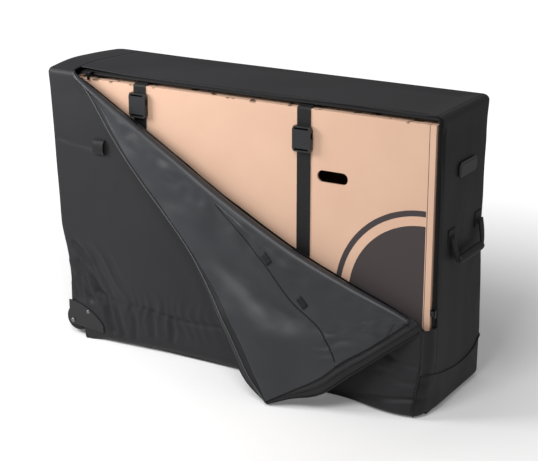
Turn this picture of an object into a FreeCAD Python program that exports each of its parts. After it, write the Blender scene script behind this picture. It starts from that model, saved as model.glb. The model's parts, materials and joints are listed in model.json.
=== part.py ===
import FreeCAD, Part
import math
import os
import re
import Sketcher

# A soft bike travel case that stands on its base and two corner wheels.
# Its front panel is unzipped along the top and one end and folded down on a diagonal,
# which shows the cardboard bike carton that stiffens the case.
# Frame: millimetres, origin on the floor under the middle of the case,
# +X towards the handle end, +Y towards the back, +Z up.

SIZES = {
    # bag
    "case_length": 1200,
    "case_width": 350,
    "case_height": 800,
    "left_lean": 33,
    "panel_thick": 4,
    "seam_gap": 0.3,
    "zip_setback": 45,
    "boot_height": 125,
    "piping_radius": 2.5,
    # fold of the front panel
    "fold_inset": 85,
    "fold_end_inset": 15,
    "fold_end_height": 250,
    "fold_sag": 40,
    # flap that hangs from the fold
    "flap_thick": 6,
    "flap_foot": 991,
    "flap_drop": 420,
    "flap_band": 28,
    "flap_top_bow": 12,
    "flap_side_bow": 20,
    "flap_zip_inset": 17,
    "flap_zip_trim": 14,
    "flap_zip_width": 5,
    "flap_zip_thick": 3,
    "floor_gap": 0.8,
    "pocket_thick": 1.6,
    "pocket_start": 543,
    "pocket_rise": 18,
    "pocket_end_gap": 30,
    "pocket_drop": 200,
    "pocket_tab_length": 30,
    "pocket_tab_width": 24,
    "pocket_tab_thick": 1.5,
    "pocket_tab_spacing": 150,
    # carton and the board under it
    "base_board_thick": 8,
    "carton_board": 6,
    "carton_end_gap": 8,
    "carton_left_gap": 23,
    "carton_wheel_gap": 12,
    "carton_back_gap": 11,
    "carton_front_gap": 21,
    "carton_top_gap": 16,
    "end_flap_length": 150,
    "hand_hole_width": 90,
    "hand_hole_height": 32,
    "hand_hole_x": 300,
    "hand_hole_drop": 175,
    # straps and buckles
    "strap_width": 40,
    "strap_thick": 2.2,
    "strap_left_x": -305,
    "strap_right_x": 215,
    "strap_sewn_length": 25,
    "strap_slope_start": 25,
    "strap_bend": 4.4,
    "strap_clearance": 0.9,
    "buckle_width": 54,
    "buckle_thick": 14,
    "buckle_wall": 3,
    "buckle_drop_left": 61,
    "buckle_drop_right": 88,
    "socket_height": 42,
    "plug_height": 26,
    "prong_length": 28,
    "prong_width": 6,
    "tongue_width": 10,
    "web_slot_height": 5,
    "web_bar": 4,
    "buckle_clearance": 0.4,
    # zip
    "tape_thick": 2.2,
    "tape_width": 18,
    "tape_overhang": 10,
    "bead_width": 5,
    "slider_length": 14,
    "slider_wall": 3.6,
    "slider_front": 10.4,
    "slider_start": 30,
    "puller_length": 20,
    "puller_width": 8,
    "puller_thick": 2,
    "puller_gap": 0.6,
    # end handle
    "handle_height": 470,
    "handle_shift": 35,
    "handle_width": 180,
    "handle_drop": 68,
    "handle_tilt": 11,
    "handle_webbing_width": 25,
    "handle_webbing_thick": 4,
    "handle_bow_drop": 50,
    "handle_leg_end": 19,
    "grip_length": 146,
    "grip_radius": 12,
    "grip_end_radius": 10,
    "grip_rounding": 6,
    "patch_width": 44,
    "patch_height": 40,
    "patch_thick": 1.5,
    # badge and front loop
    "badge_length": 110,
    "badge_height": 40,
    "badge_thick": 2,
    "badge_raise": 1,
    "badge_rim": 7,
    "badge_corner": 9,
    "badge_drop": 164,
    "badge_shift": 30,
    "loop_inset": 170,
    "loop_drop": 206,
    "loop_width": 36,
    "loop_height": 42,
    "loop_reach": 12,
    "loop_thick": 2.2,
    "loop_foot": 7,
    # wheels and their corner
    "wheel_radius": 40,
    "wheel_width": 28,
    "wheel_inset": 17,
    "wheel_lift": 9,
    "wheel_clearance": 5,
    "tyre_edge": 5,
    "tyre_crown": 1,
    "hub_radius": 26,
    "hub_length": 40,
    "hub_boss_radius": 11,
    "hub_gap": 1,
    "bush_radius": 8,
    "bush_length": 9,
    "running_gap": 0.06,
    "housing_wall": 4,
    "axle_radius": 4,
    "axle_head_radius": 7,
    "axle_head_flat_radius": 5,
    "axle_head_thick": 4,
    "axle_head_rim": 2.4,
    "axle_nut_radius": 7,
    "axle_nut_thick": 6,
    "guard_length": 123,
    "guard_height": 84,
    "guard_end_height": 22,
    "guard_bow": 15,
    "guard_round": 13,
    "guard_base": 28,
    "guard_thick": 3,
    "rivet_radius": 2.5,
    "rivet_head_radius": 6,
    "rivet_head_thick": 2.5,
    "rivet_dome_rise": 1.8,
    "rivet_dome_radius": 3.3,
    "rivet_tail_radius": 4.2,
    "rivet_reach": 68,
    "rivet_rise": 56,
}

doc = FreeCAD.newDocument("bike_travel_case")
sheet = doc.addObject("Spreadsheet::Sheet", "sizes")
for row, (alias, value) in enumerate(SIZES.items(), start=1):
    sheet.set(f"A{row}", alias)
    sheet.set(f"B{row}", str(value))
    sheet.setAlias(f"B{row}", alias)
doc.recompute()


def size(name):
    """Reads one size back from the sheet."""
    return float(sheet.get(name))


def bound(formula):
    """Turns a formula in size names into one that reads the sheet."""
    return re.sub(r"[a-z_]+", lambda word: "sizes." + word[0] if word[0] in SIZES else word[0], formula)


def value_of(formula):
    """Works out a formula in size names, as the sheet holds them now."""
    return float(sheet.evalExpression(bound(formula)))


# Formulas that several pieces share
RIGHT = "case_length / 2"
LEFT = "-case_length / 2"
LEFT_BASE = f"{LEFT} + left_lean"
BACK = "case_width / 2"
FRONT = "-case_width / 2"
INNER_RIGHT = f"{RIGHT} - panel_thick"
INNER_LEFT = f"{LEFT} + panel_thick"
INNER_BACK = f"{BACK} - panel_thick"
INNER_FRONT = f"{FRONT} + panel_thick"
TOP = "case_height"
INNER_TOP = "case_height - panel_thick"
ZIP_LINE = f"{FRONT} + zip_setback"
FOLD_START = f"{LEFT} + fold_inset"
FOLD_RUN = "(case_length - fold_inset - fold_end_inset)"
FOLD_FALL = "(case_height - fold_end_height)"
FOLD_LENGTH = f"hypot({FOLD_RUN}; {FOLD_FALL})"
WHEEL_X = f"{LEFT_BASE} + wheel_inset"
WHEEL_Z = "wheel_radius + wheel_lift"
WHEEL_DEPTH = "panel_thick + housing_wall + hub_gap + hub_length / 2"
HOUSING_RIGHT = f"{WHEEL_X} + wheel_radius + wheel_clearance + housing_wall"
HOUSING_TOP = f"{WHEEL_Z} + wheel_radius + wheel_clearance + housing_wall"
HOUSING_INNER = f"{BACK} - panel_thick - 2 * housing_wall - 2 * hub_gap - hub_length"
CARTON_RIGHT = f"{INNER_RIGHT} - carton_end_gap"
CARTON_LEFT = f"{LEFT_BASE} + panel_thick + carton_left_gap"
CARTON_BACK = f"{INNER_BACK} - carton_back_gap"
CARTON_FRONT = f"{INNER_FRONT} + carton_front_gap"
CARTON_FLOOR = "panel_thick + base_board_thick"
CARTON_TOP = f"{INNER_TOP} - carton_top_gap"
BUCKLE_SPLIT = {place: f"{CARTON_TOP} - buckle_drop_{place}" for place in ("left", "right")}
STRAP_BACK = f"{CARTON_FRONT} - seam_gap"
STRAP_FRONT = f"{CARTON_FRONT} - seam_gap - strap_thick"
BUCKLE_BACK = f"{STRAP_FRONT} - seam_gap"

nodes = []


def keep(piece, label):
    """Gives a finished piece the name that its file takes."""
    piece.Label = label
    nodes.append(piece)
    return piece


def plate(label, across, depth, height):
    """A flat-sided block between pairs of X, Y and Z formulas."""
    box = doc.addObject("Part::Box", label)
    for prop, axis, (low, high) in zip(("Length", "Width", "Height"), "xyz", (across, depth, height)):
        box.setExpression(prop, bound(f"({high}) - ({low})"))
        box.setExpression(f"Placement.Base.{axis}", bound(low))
    return box


def origin_plane(body, role):
    """Finds one of a body's own origin planes."""
    return next(item for item in body.Origin.OriginFeatures if item.Role == role)


def outline(body, role, points, offset="0"):
    """A closed sketch through formula points; a point with a third entry ends an arc through that entry."""
    sketch = body.newObject("Sketcher::SketchObject", f"{body.Name}_outline")
    sketch.AttachmentSupport = [(origin_plane(body, role), "")]
    sketch.MapMode = "FlatFace"
    sketch.setExpression("AttachmentOffset.Base.z", bound(offset))
    flat = [FreeCAD.Vector(value_of(entry[0]), value_of(entry[1]), 0) for entry in points]
    ends = []
    for index, entry in enumerate(points):
        start = flat[index - 1]
        if len(entry) == 3:
            middle = FreeCAD.Vector(value_of(entry[2][0]), value_of(entry[2][1]), 0)
            turns_left = (middle - start).cross(flat[index] - start).z > 0
            first, last = (start, flat[index]) if turns_left else (flat[index], start)
            edge = sketch.addGeometry(Part.Arc(first, middle, last), False)
            ends.append((edge, 1, 2) if turns_left else (edge, 2, 1))
            anchor = sketch.addGeometry(Part.Point(middle), True)
            pin_point(sketch, anchor, 1, entry[2])
            sketch.addConstraint(Sketcher.Constraint("PointOnObject", anchor, 1, edge))
        else:
            edge = sketch.addGeometry(Part.LineSegment(start, flat[index]), False)
            ends.append((edge, 1, 2))
    for index, entry in enumerate(points):
        edge, _, last = ends[index]
        following, first, _ = ends[(index + 1) % len(points)]
        sketch.addConstraint(Sketcher.Constraint("Coincident", edge, last, following, first))
        pin_point(sketch, edge, last, entry)
    return sketch


def pin_point(sketch, geometry, end, place):
    """Holds a sketch point at two formulas, measured from the sketch's origin."""
    for kind, formula in (("DistanceX", place[0]), ("DistanceY", place[1])):
        constraint = Sketcher.Constraint(kind, -1, 1, geometry, end, value_of(formula))
        index = sketch.addConstraint(constraint)
        sketch.setExpression(f"Constraints[{index}]", bound(formula))


def padded(label, role, points, thickness, offset="0"):
    """A body padded from one outline, along the plane's own normal."""
    body = doc.addObject("PartDesign::Body", label)
    pad_on(body, role, points, thickness, offset)
    return body


def pad_on(body, role, points, thickness, offset):
    """Adds one pad to a body."""
    sketch = outline(body, role, points, offset)
    pad = body.newObject("PartDesign::Pad", f"{body.Name}_pad")
    pad.Profile = sketch
    pad.setExpression("Length", bound(thickness))
    return pad


def turned(label, place, direction, profile):
    """A body turned about an axis: profile points are (along the axis, radius) formulas."""
    body = doc.addObject("PartDesign::Body", label)
    sketch = outline(body, "XY_Plane", profile)
    revolution = body.newObject("PartDesign::Revolution", f"{label}_turning")
    revolution.Profile = sketch
    revolution.ReferenceAxis = (sketch, ["H_Axis"])
    revolution.Angle = 360
    body.Placement = FreeCAD.Placement(
        FreeCAD.Vector(*(value_of(formula) for formula in place)),
        FreeCAD.Rotation(FreeCAD.Vector(1, 0, 0), FreeCAD.Vector(*direction)))
    return body


def cut(label, base, tools):
    """Takes tools away from a base, one after another."""
    for index, tool in enumerate(tools):
        result = doc.addObject("Part::Cut", f"{label}_cut_{index}")
        result.Base = base
        result.Tool = tool
        base = result
    return base


def joined(label, pieces):
    """Fuses pieces into one solid."""
    fusion = doc.addObject("Part::MultiFuse", f"{label}_fusion")
    fusion.Shapes = pieces
    return fusion


def group(label, pieces):
    """Keeps separate like pieces together under one name."""
    compound = doc.addObject("Part::Compound", f"{label}_group")
    compound.Links = pieces
    return compound


def drill(label, place, radius, length):
    """A hole along Y, centred on a place."""
    hole = doc.addObject("Part::Cylinder", label)
    hole.setExpression("Radius", bound(radius))
    hole.setExpression("Height", bound(length))
    hole.Placement = FreeCAD.Placement(
        FreeCAD.Vector(value_of(place[0]), value_of(place[1]) - value_of(length) / 2, value_of(place[2])),
        FreeCAD.Rotation(FreeCAD.Vector(0, 0, 1), FreeCAD.Vector(0, 1, 0)))
    return hole


def on_side(sign, near, far):
    """A pair of Y formulas on one side of the case, from two distances off its middle."""
    return (near, far) if sign > 0 else (f"-({far})", f"-({near})")


# Holes that the axles and rivets pass through, on both sides of the case
SIDES = {"front": -1, "rear": 1}
GUARD_LEFT = f"{WHEEL_X} - guard_round"
GUARD_RIGHT = f"{GUARD_LEFT} + guard_length"
GUARD_TOP = "guard_base + guard_height"
RIVET_X = f"{GUARD_LEFT} + rivet_reach"
RIVET_Z = "guard_base + rivet_rise"
HOLE_DEPTH = "3 * (panel_thick + housing_wall + hub_gap + hub_length)"
RIVET_HOLE_DEPTH = "4 * (panel_thick + guard_thick)"
side_holes = {}
for side, sign in SIDES.items():
    axle_hole = drill(f"axle_hole_{side}", (WHEEL_X, f"{sign} * ({BACK})", WHEEL_Z),
                      "axle_radius + seam_gap", HOLE_DEPTH)
    rivet_hole = drill(f"rivet_hole_{side}", (RIVET_X, f"{sign} * ({BACK})", RIVET_Z),
                       "rivet_radius + seam_gap", RIVET_HOLE_DEPTH)
    side_holes[side] = [axle_hole, rivet_hole]

# Outline of a corner guard: it is round about the axle, and its upper edge bows from left to right
CURVE_RISE = "(guard_height - guard_end_height)"
CURVE_LENGTH = f"hypot(guard_length; {CURVE_RISE})"
curve_middle = (
    f"{GUARD_LEFT} + guard_length / 2 + guard_bow * {CURVE_RISE} / {CURVE_LENGTH}",
    f"guard_base + (guard_height + guard_end_height) / 2 + guard_bow * guard_length / {CURVE_LENGTH}",
)
round_middle = (f"{WHEEL_X} - guard_round * sin(45)", f"{WHEEL_Z} - guard_round * sin(45)")
guard_outline = [
    (GUARD_LEFT, WHEEL_Z), (WHEEL_X, f"{WHEEL_Z} - guard_round", round_middle), (GUARD_RIGHT, "guard_base"),
    (GUARD_RIGHT, "guard_base + guard_end_height"), (GUARD_LEFT, GUARD_TOP, curve_middle),
]

# What is cut away left of each guard and under it, so that the wheel shows at the bag's lower left corner
KEPT_RIGHT = f"{GUARD_RIGHT} + guard_length"
KEPT_TOP = f"2 * ({GUARD_TOP})"
kept_side = padded(
    "kept_side", "XZ_Plane",
    [*guard_outline[:3], (KEPT_RIGHT, "guard_base"), (KEPT_RIGHT, KEPT_TOP), (GUARD_LEFT, KEPT_TOP)],
    "3 * case_width", "-1.5 * case_width")
wheel_corners = {}
for side, sign in SIDES.items():
    corner_blank = plate(f"corner_blank_{side}", (LEFT, GUARD_RIGHT),
                         on_side(sign, f"{INNER_BACK} - housing_wall", "case_width"),
                         ("-guard_base", GUARD_TOP))
    wheel_corners[side] = cut(f"wheel_corner_{side}", corner_blank, [kept_side])

# Base of the bag, notched at the two wheel wells
INNER_BASE_LEFT = f"{LEFT_BASE} + panel_thick"
base_blank = plate("base_blank", (INNER_BASE_LEFT, INNER_RIGHT), (INNER_FRONT, INNER_BACK),
                   ("0", "panel_thick"))
wells = [
    plate(f"well_{side}", (LEFT, HOUSING_RIGHT), on_side(sign, HOUSING_INNER, BACK),
          ("-panel_thick", HOUSING_TOP))
    for side, sign in SIDES.items()]
keep(cut("base_panel", base_blank, wells), "base_panel")

# Back of the bag, whose left edge leans out towards the top
back_blank = padded(
    "back_blank", "XZ_Plane", [(LEFT_BASE, "0"), (RIGHT, "0"), (RIGHT, TOP), (LEFT, TOP)],
    "panel_thick", f"-({BACK})")
keep(cut("back_panel", back_blank, [*side_holes["rear"], wheel_corners["rear"]]), "back_panel")

# Front of the bag, up to the sagging diagonal fold
fold_middle = (
    f"({FOLD_START} + {RIGHT}) / 2 - fold_sag * {FOLD_FALL} / {FOLD_LENGTH}",
    f"(case_height + fold_end_height) / 2 - fold_sag * {FOLD_RUN} / {FOLD_LENGTH}",
)
front_blank = padded(
    "front_blank", "XZ_Plane",
    [(LEFT_BASE, "0"), (RIGHT, "0"), (RIGHT, "fold_end_height"), (FOLD_START, TOP, fold_middle), (LEFT, TOP)],
    "panel_thick", f"-({INNER_FRONT})")
keep(cut("front_panel", front_blank, [*side_holes["front"], wheel_corners["front"]]), "front_panel")

# Top and ends of the bag
keep(plate("top_panel", (INNER_LEFT, INNER_RIGHT), (ZIP_LINE, INNER_BACK), (INNER_TOP, TOP)), "top_panel")
GUSSET_DEPTH = (INNER_FRONT, f"{ZIP_LINE} - seam_gap")
keep(plate("front_gusset_top", (INNER_LEFT, FOLD_START), GUSSET_DEPTH, (INNER_TOP, TOP)), "front_gusset_top")
keep(plate("front_gusset_side", (INNER_RIGHT, RIGHT), GUSSET_DEPTH, ("boot_height", "fold_end_height")),
     "front_gusset_side")
left_blank = padded(
    "left_end_blank", "XZ_Plane",
    [(LEFT_BASE, "0"), (INNER_BASE_LEFT, "0"), (INNER_LEFT, INNER_TOP), (INNER_LEFT, TOP), (LEFT, TOP)],
    "case_width - 2 * panel_thick", f"-({INNER_BACK})")
keep(cut("left_end_panel", left_blank, wells), "left_end_panel")
keep(plate("right_end_panel", (INNER_RIGHT, RIGHT), (ZIP_LINE, INNER_BACK), ("boot_height", TOP)),
     "right_end_panel")
keep(plate("right_end_boot", (INNER_RIGHT, RIGHT), (INNER_FRONT, INNER_BACK), ("0", "boot_height")),
     "right_end_boot")
piping = turned(
    "boot_piping", (f"{RIGHT} + piping_radius + seam_gap", FRONT, "boot_height"), (0, 1, 0),
    [("0", "0"), ("case_width", "0"), ("case_width", "piping_radius"), ("0", "piping_radius")])
keep(piping, "boot_piping")

# Zip: a tape under each edge of the opening, with a bead of teeth along it
TAPE_BACK = f"{ZIP_LINE} + tape_width - tape_overhang"
BEAD_FRONT = f"{ZIP_LINE} - tape_overhang - bead_width / 2"
TAPE_DEPTH = (BEAD_FRONT, TAPE_BACK)
TAPE_TOP = f"{INNER_TOP} - seam_gap"
TAPE_SIDE = f"{INNER_RIGHT} - seam_gap"
keep(plate("zip_tape_top", (FOLD_START, f"{TAPE_SIDE} - tape_thick - seam_gap"), TAPE_DEPTH,
           (f"{TAPE_TOP} - tape_thick", TAPE_TOP)), "zip_tape_top")
keep(plate("zip_tape_side", (f"{TAPE_SIDE} - tape_thick", TAPE_SIDE), TAPE_DEPTH,
           ("fold_end_height", TAPE_TOP)), "zip_tape_side")

# Each slider is a small block with a channel that the tape runs through, and a lug that carries a puller
SLIDER_BACK = f"{BEAD_FRONT} + bead_width + seam_gap"
SLIDER_FRONT = f"{BEAD_FRONT} - slider_front"
SLIDER_X = f"{FOLD_START} + slider_start"
SLIDER_Z = "fold_end_height + slider_start"
CHANNEL_DEPTH = (f"{BEAD_FRONT} - seam_gap", f"{SLIDER_BACK} + bead_width")
TOP_CHANNEL = (f"{TAPE_TOP} - tape_thick - seam_gap", f"{TAPE_TOP} + seam_gap")
top_block = plate("slider_top_block", (SLIDER_X, f"{SLIDER_X} + slider_length"), (SLIDER_FRONT, SLIDER_BACK),
                  (f"{TOP_CHANNEL[0]} - slider_wall", f"{TOP_CHANNEL[1]} + slider_wall"))
top_channel = plate("slider_top_channel", (f"{SLIDER_X} - slider_length", f"{SLIDER_X} + 2 * slider_length"),
                    CHANNEL_DEPTH, TOP_CHANNEL)
keep(cut("zip_slider_top", top_block, [top_channel]), "zip_slider_top")
SIDE_CHANNEL = (f"{TAPE_SIDE} - tape_thick - seam_gap", f"{TAPE_SIDE} + seam_gap")
side_block = plate("slider_side_block",
                   (f"{SIDE_CHANNEL[0]} - slider_wall", f"{SIDE_CHANNEL[1]} + slider_wall"),
                   (SLIDER_FRONT, SLIDER_BACK), (SLIDER_Z, f"{SLIDER_Z} + slider_length"))
side_channel = plate("slider_side_channel", SIDE_CHANNEL, CHANNEL_DEPTH,
                     (f"{SLIDER_Z} - slider_length", f"{SLIDER_Z} + 2 * slider_length"))
keep(cut("zip_slider_side", side_block, [side_channel]), "zip_slider_side")

# Pullers hang in front of the top slider and outside the side slider
PULLER_FRONT = f"{SLIDER_FRONT} - puller_gap - puller_thick"
PULLER_TOP = f"{TAPE_TOP} + puller_thick"
PULLER_MIDDLE = f"{SLIDER_X} + slider_length / 2"
keep(plate("zip_puller_top", (f"{PULLER_MIDDLE} - puller_width / 2", f"{PULLER_MIDDLE} + puller_width / 2"),
           (PULLER_FRONT, f"{SLIDER_FRONT} - puller_gap"), (f"{PULLER_TOP} - puller_length", PULLER_TOP)),
     "zip_puller_top")
SIDE_PULLER_X = f"{TAPE_SIDE} + seam_gap + slider_wall + puller_gap"
SIDE_PULLER_TOP = f"{SLIDER_Z} + slider_length"
SIDE_PULLER_Y = f"({SLIDER_FRONT} + {SLIDER_BACK}) / 2"
keep(plate("zip_puller_side", (SIDE_PULLER_X, f"{SIDE_PULLER_X} + puller_thick"),
           (f"{SIDE_PULLER_Y} - puller_width / 2", f"{SIDE_PULLER_Y} + puller_width / 2"),
           (f"{SIDE_PULLER_TOP} - puller_length", SIDE_PULLER_TOP)), "zip_puller_side")

# Board and carton, both cut away round the wheel wells
CARTON_SPAN = (CARTON_LEFT, CARTON_RIGHT)
CARTON_INSIDE = (f"{CARTON_LEFT} + carton_board", f"{CARTON_RIGHT} - carton_board")
CARTON_DEPTH = (f"{CARTON_FRONT} + carton_board", f"{CARTON_BACK} - carton_board")
CARTON_RISE = (CARTON_FLOOR, CARTON_TOP)
CARTON_SEAM = f"({CARTON_FRONT} + {CARTON_BACK}) / 2"
FLAP_LEVEL = (f"{CARTON_TOP} - carton_board", CARTON_TOP)
END_FLAP_LEVEL = (f"{CARTON_TOP} - 2 * carton_board", f"{CARTON_TOP} - carton_board")
carton_wells = [
    plate(f"carton_well_{side}", (LEFT, f"{HOUSING_RIGHT} + carton_wheel_gap"),
          on_side(sign, f"{HOUSING_INNER} - carton_wheel_gap", BACK),
          ("0", f"{HOUSING_TOP} + carton_wheel_gap"))
    for side, sign in SIDES.items()]
board_blank = plate("board_blank", CARTON_SPAN, (CARTON_FRONT, CARTON_BACK), ("panel_thick", CARTON_FLOOR))
keep(cut("base_board", board_blank, carton_wells), "base_board")
wall_blank = plate("carton_front_blank", CARTON_SPAN,
                   (CARTON_FRONT, f"{CARTON_FRONT} + carton_board"), CARTON_RISE)
HOLE_MIDDLE = f"{CARTON_TOP} - hand_hole_drop"
HOLE_LOW = f"{HOLE_MIDDLE} - hand_hole_height / 2"
HOLE_HIGH = f"{HOLE_MIDDLE} + hand_hole_height / 2"
HOLE_LEFT = "hand_hole_x - (hand_hole_width - hand_hole_height) / 2"
HOLE_RIGHT = "hand_hole_x + (hand_hole_width - hand_hole_height) / 2"
hand_hole = padded(
    "hand_hole", "XZ_Plane",
    [(HOLE_RIGHT, HOLE_LOW),
     (HOLE_RIGHT, HOLE_HIGH, (f"{HOLE_RIGHT} + hand_hole_height / 2", HOLE_MIDDLE)),
     (HOLE_LEFT, HOLE_HIGH),
     (HOLE_LEFT, HOLE_LOW, (f"{HOLE_LEFT} - hand_hole_height / 2", HOLE_MIDDLE))],
    "3 * carton_board", f"-({CARTON_FRONT} + 2 * carton_board)")
keep(cut("carton_front_wall", wall_blank, [hand_hole, carton_wells[0]]), "carton_front_wall")
back_wall_blank = plate("carton_back_blank", CARTON_SPAN,
                        (f"{CARTON_BACK} - carton_board", CARTON_BACK), CARTON_RISE)
keep(cut("carton_back_wall", back_wall_blank, [carton_wells[1]]), "carton_back_wall")
left_wall_blank = plate("carton_left_blank", (CARTON_LEFT, f"{CARTON_LEFT} + carton_board"),
                        CARTON_DEPTH, CARTON_RISE)
keep(cut("carton_left_wall", left_wall_blank, carton_wells), "carton_left_wall")
keep(plate("carton_right_wall", (f"{CARTON_RIGHT} - carton_board", CARTON_RIGHT), CARTON_DEPTH, CARTON_RISE),
     "carton_right_wall")
floor_blank = plate("carton_floor_blank", CARTON_INSIDE, CARTON_DEPTH,
                    (CARTON_FLOOR, f"{CARTON_FLOOR} + carton_board"))
keep(cut("carton_floor", floor_blank, carton_wells), "carton_floor")
keep(plate("carton_top_flap_front", CARTON_INSIDE,
           (CARTON_DEPTH[0], f"{CARTON_SEAM} - seam_gap"), FLAP_LEVEL), "carton_top_flap_front")
keep(plate("carton_top_flap_back", CARTON_INSIDE,
           (f"{CARTON_SEAM} + seam_gap", CARTON_DEPTH[1]), FLAP_LEVEL), "carton_top_flap_back")
keep(plate("carton_end_flap_left", (CARTON_INSIDE[0], f"{CARTON_INSIDE[0]} + end_flap_length"), CARTON_DEPTH,
           END_FLAP_LEVEL), "carton_end_flap_left")
keep(plate("carton_end_flap_right", (f"{CARTON_INSIDE[1]} - end_flap_length", CARTON_INSIDE[1]), CARTON_DEPTH,
           END_FLAP_LEVEL), "carton_end_flap_right")

# Straps: sewn under the top panel, over the carton's edge and down its front to the base
SEWN_BACK = f"{ZIP_LINE} + strap_slope_start + strap_sewn_length"
SEWN_FRONT = f"{ZIP_LINE} + strap_slope_start"
BEND_BACK = f"{CARTON_FRONT} + strap_bend"
CAVITY_WIDTH = "(buckle_width - 2 * buckle_wall)"
CAVITY_DEPTH = (f"{BUCKLE_BACK} - buckle_thick + buckle_wall", f"{BUCKLE_BACK} - buckle_wall")
WEB_WIDTH = "strap_width + 2 * buckle_clearance"
WEB_DEPTH = (f"{BUCKLE_BACK} - 2 * buckle_thick", f"{BUCKLE_BACK} + buckle_thick")
PRONG_DEPTH = (f"{CAVITY_DEPTH[0]} + buckle_clearance", f"{CAVITY_DEPTH[1]} - buckle_clearance")


def side_to_side(middle, width):
    """A pair of formulas a width apart, centred on a middle."""
    return (f"{middle} - ({width}) / 2", f"{middle} + ({width}) / 2")


def upper_strap(split):
    """Outline of a strap's upper length, seen from the side, down into the buckle that opens at the split."""
    return [
        (SEWN_BACK, f"{INNER_TOP} - strap_thick"),
        (SEWN_FRONT, f"{INNER_TOP} - strap_thick"),
        (BEND_BACK, f"{CARTON_TOP} + strap_clearance"),
        (STRAP_BACK, f"{CARTON_TOP} + seam_gap"),
        (STRAP_BACK, f"{split} + socket_height / 2"),
        (STRAP_FRONT, f"{split} + socket_height / 2"),
        (STRAP_FRONT, f"{CARTON_TOP} + strap_thick / 2"),
        (BEND_BACK, f"{CARTON_TOP} + strap_clearance + strap_thick"),
        (SEWN_FRONT, INNER_TOP),
        (SEWN_BACK, INNER_TOP),
    ]


def socket(place, middle, split):
    """The buckle half on the upper strap: a hollow with two side windows and a bar for the webbing."""
    top = f"{split} + socket_height"
    block = padded(
        f"socket_block_{place}", "XZ_Plane",
        [(f"{middle} - buckle_width / 2", split), (f"{middle} + buckle_width / 2", split),
         (f"{middle} + buckle_width / 2", f"{top} - 2 * web_bar"),
         (f"{middle} + buckle_width / 2 - web_bar", top), (f"{middle} - buckle_width / 2 + web_bar", top),
         (f"{middle} - buckle_width / 2", f"{top} - 2 * web_bar")],
        "buckle_thick", f"-({BUCKLE_BACK})")
    cavity = plate(f"socket_cavity_{place}", side_to_side(middle, CAVITY_WIDTH), CAVITY_DEPTH,
                   (f"{split} - buckle_wall", f"{split} + prong_length + buckle_wall"))
    windows = plate(f"socket_windows_{place}", side_to_side(middle, "2 * buckle_width"), CAVITY_DEPTH,
                    (f"{split} + prong_length / 3", f"{split} + prong_length - buckle_wall"))
    web_slot = plate(f"socket_slot_{place}", side_to_side(middle, WEB_WIDTH), WEB_DEPTH,
                     (f"{top} - web_bar - web_slot_height", f"{top} - web_bar"))
    return cut(f"buckle_socket_{place}", block, [cavity, windows, web_slot])


def plug(place, middle, split):
    """The buckle half on the lower strap: a bar for the webbing, two prongs and a guide tongue."""
    top = f"{split} - seam_gap"
    low = f"{top} - plug_height"
    block = padded(
        f"plug_block_{place}", "XZ_Plane",
        [(f"{middle} - buckle_width / 2", f"{low} + 2 * web_bar"),
         (f"{middle} - buckle_width / 2 + web_bar", low), (f"{middle} + buckle_width / 2 - web_bar", low),
         (f"{middle} + buckle_width / 2", f"{low} + 2 * web_bar"), (f"{middle} + buckle_width / 2", top),
         (f"{middle} - buckle_width / 2", top)],
        "buckle_thick", f"-({BUCKLE_BACK})")
    reach = (f"{top} - web_bar", f"{split} + prong_length")
    prong_shift = f"({CAVITY_WIDTH} / 2 - buckle_clearance - prong_width / 2)"
    prongs = [
        plate(f"plug_prong_{place}_{index}", side_to_side(f"{middle} {sign} {prong_shift}", "prong_width"),
              PRONG_DEPTH, reach)
        for index, sign in enumerate("-+")]
    tongue = plate(f"plug_tongue_{place}", side_to_side(middle, "tongue_width"), PRONG_DEPTH, reach)
    web_slot = plate(f"plug_slot_{place}", side_to_side(middle, WEB_WIDTH), WEB_DEPTH,
                     (f"{low} + web_bar", f"{low} + web_bar + web_slot_height"))
    return cut(f"buckle_plug_{place}", joined(f"plug_{place}", [block, *prongs, tongue]), [web_slot])


for place, split in BUCKLE_SPLIT.items():
    middle = f"strap_{place}_x"
    strap = padded(f"strap_upper_{place}", "YZ_Plane", upper_strap(split),
                   "strap_width", f"{middle} - strap_width / 2")
    keep(strap, f"strap_upper_{place}")
    keep(plate(f"strap_lower_{place}", side_to_side(middle, "strap_width"), (STRAP_FRONT, STRAP_BACK),
               ("panel_thick", f"{split} - plug_height / 3")), f"strap_lower_{place}")
    keep(socket(place, middle, split), f"buckle_socket_{place}")
    keep(plug(place, middle, split), f"buckle_plug_{place}")

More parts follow.
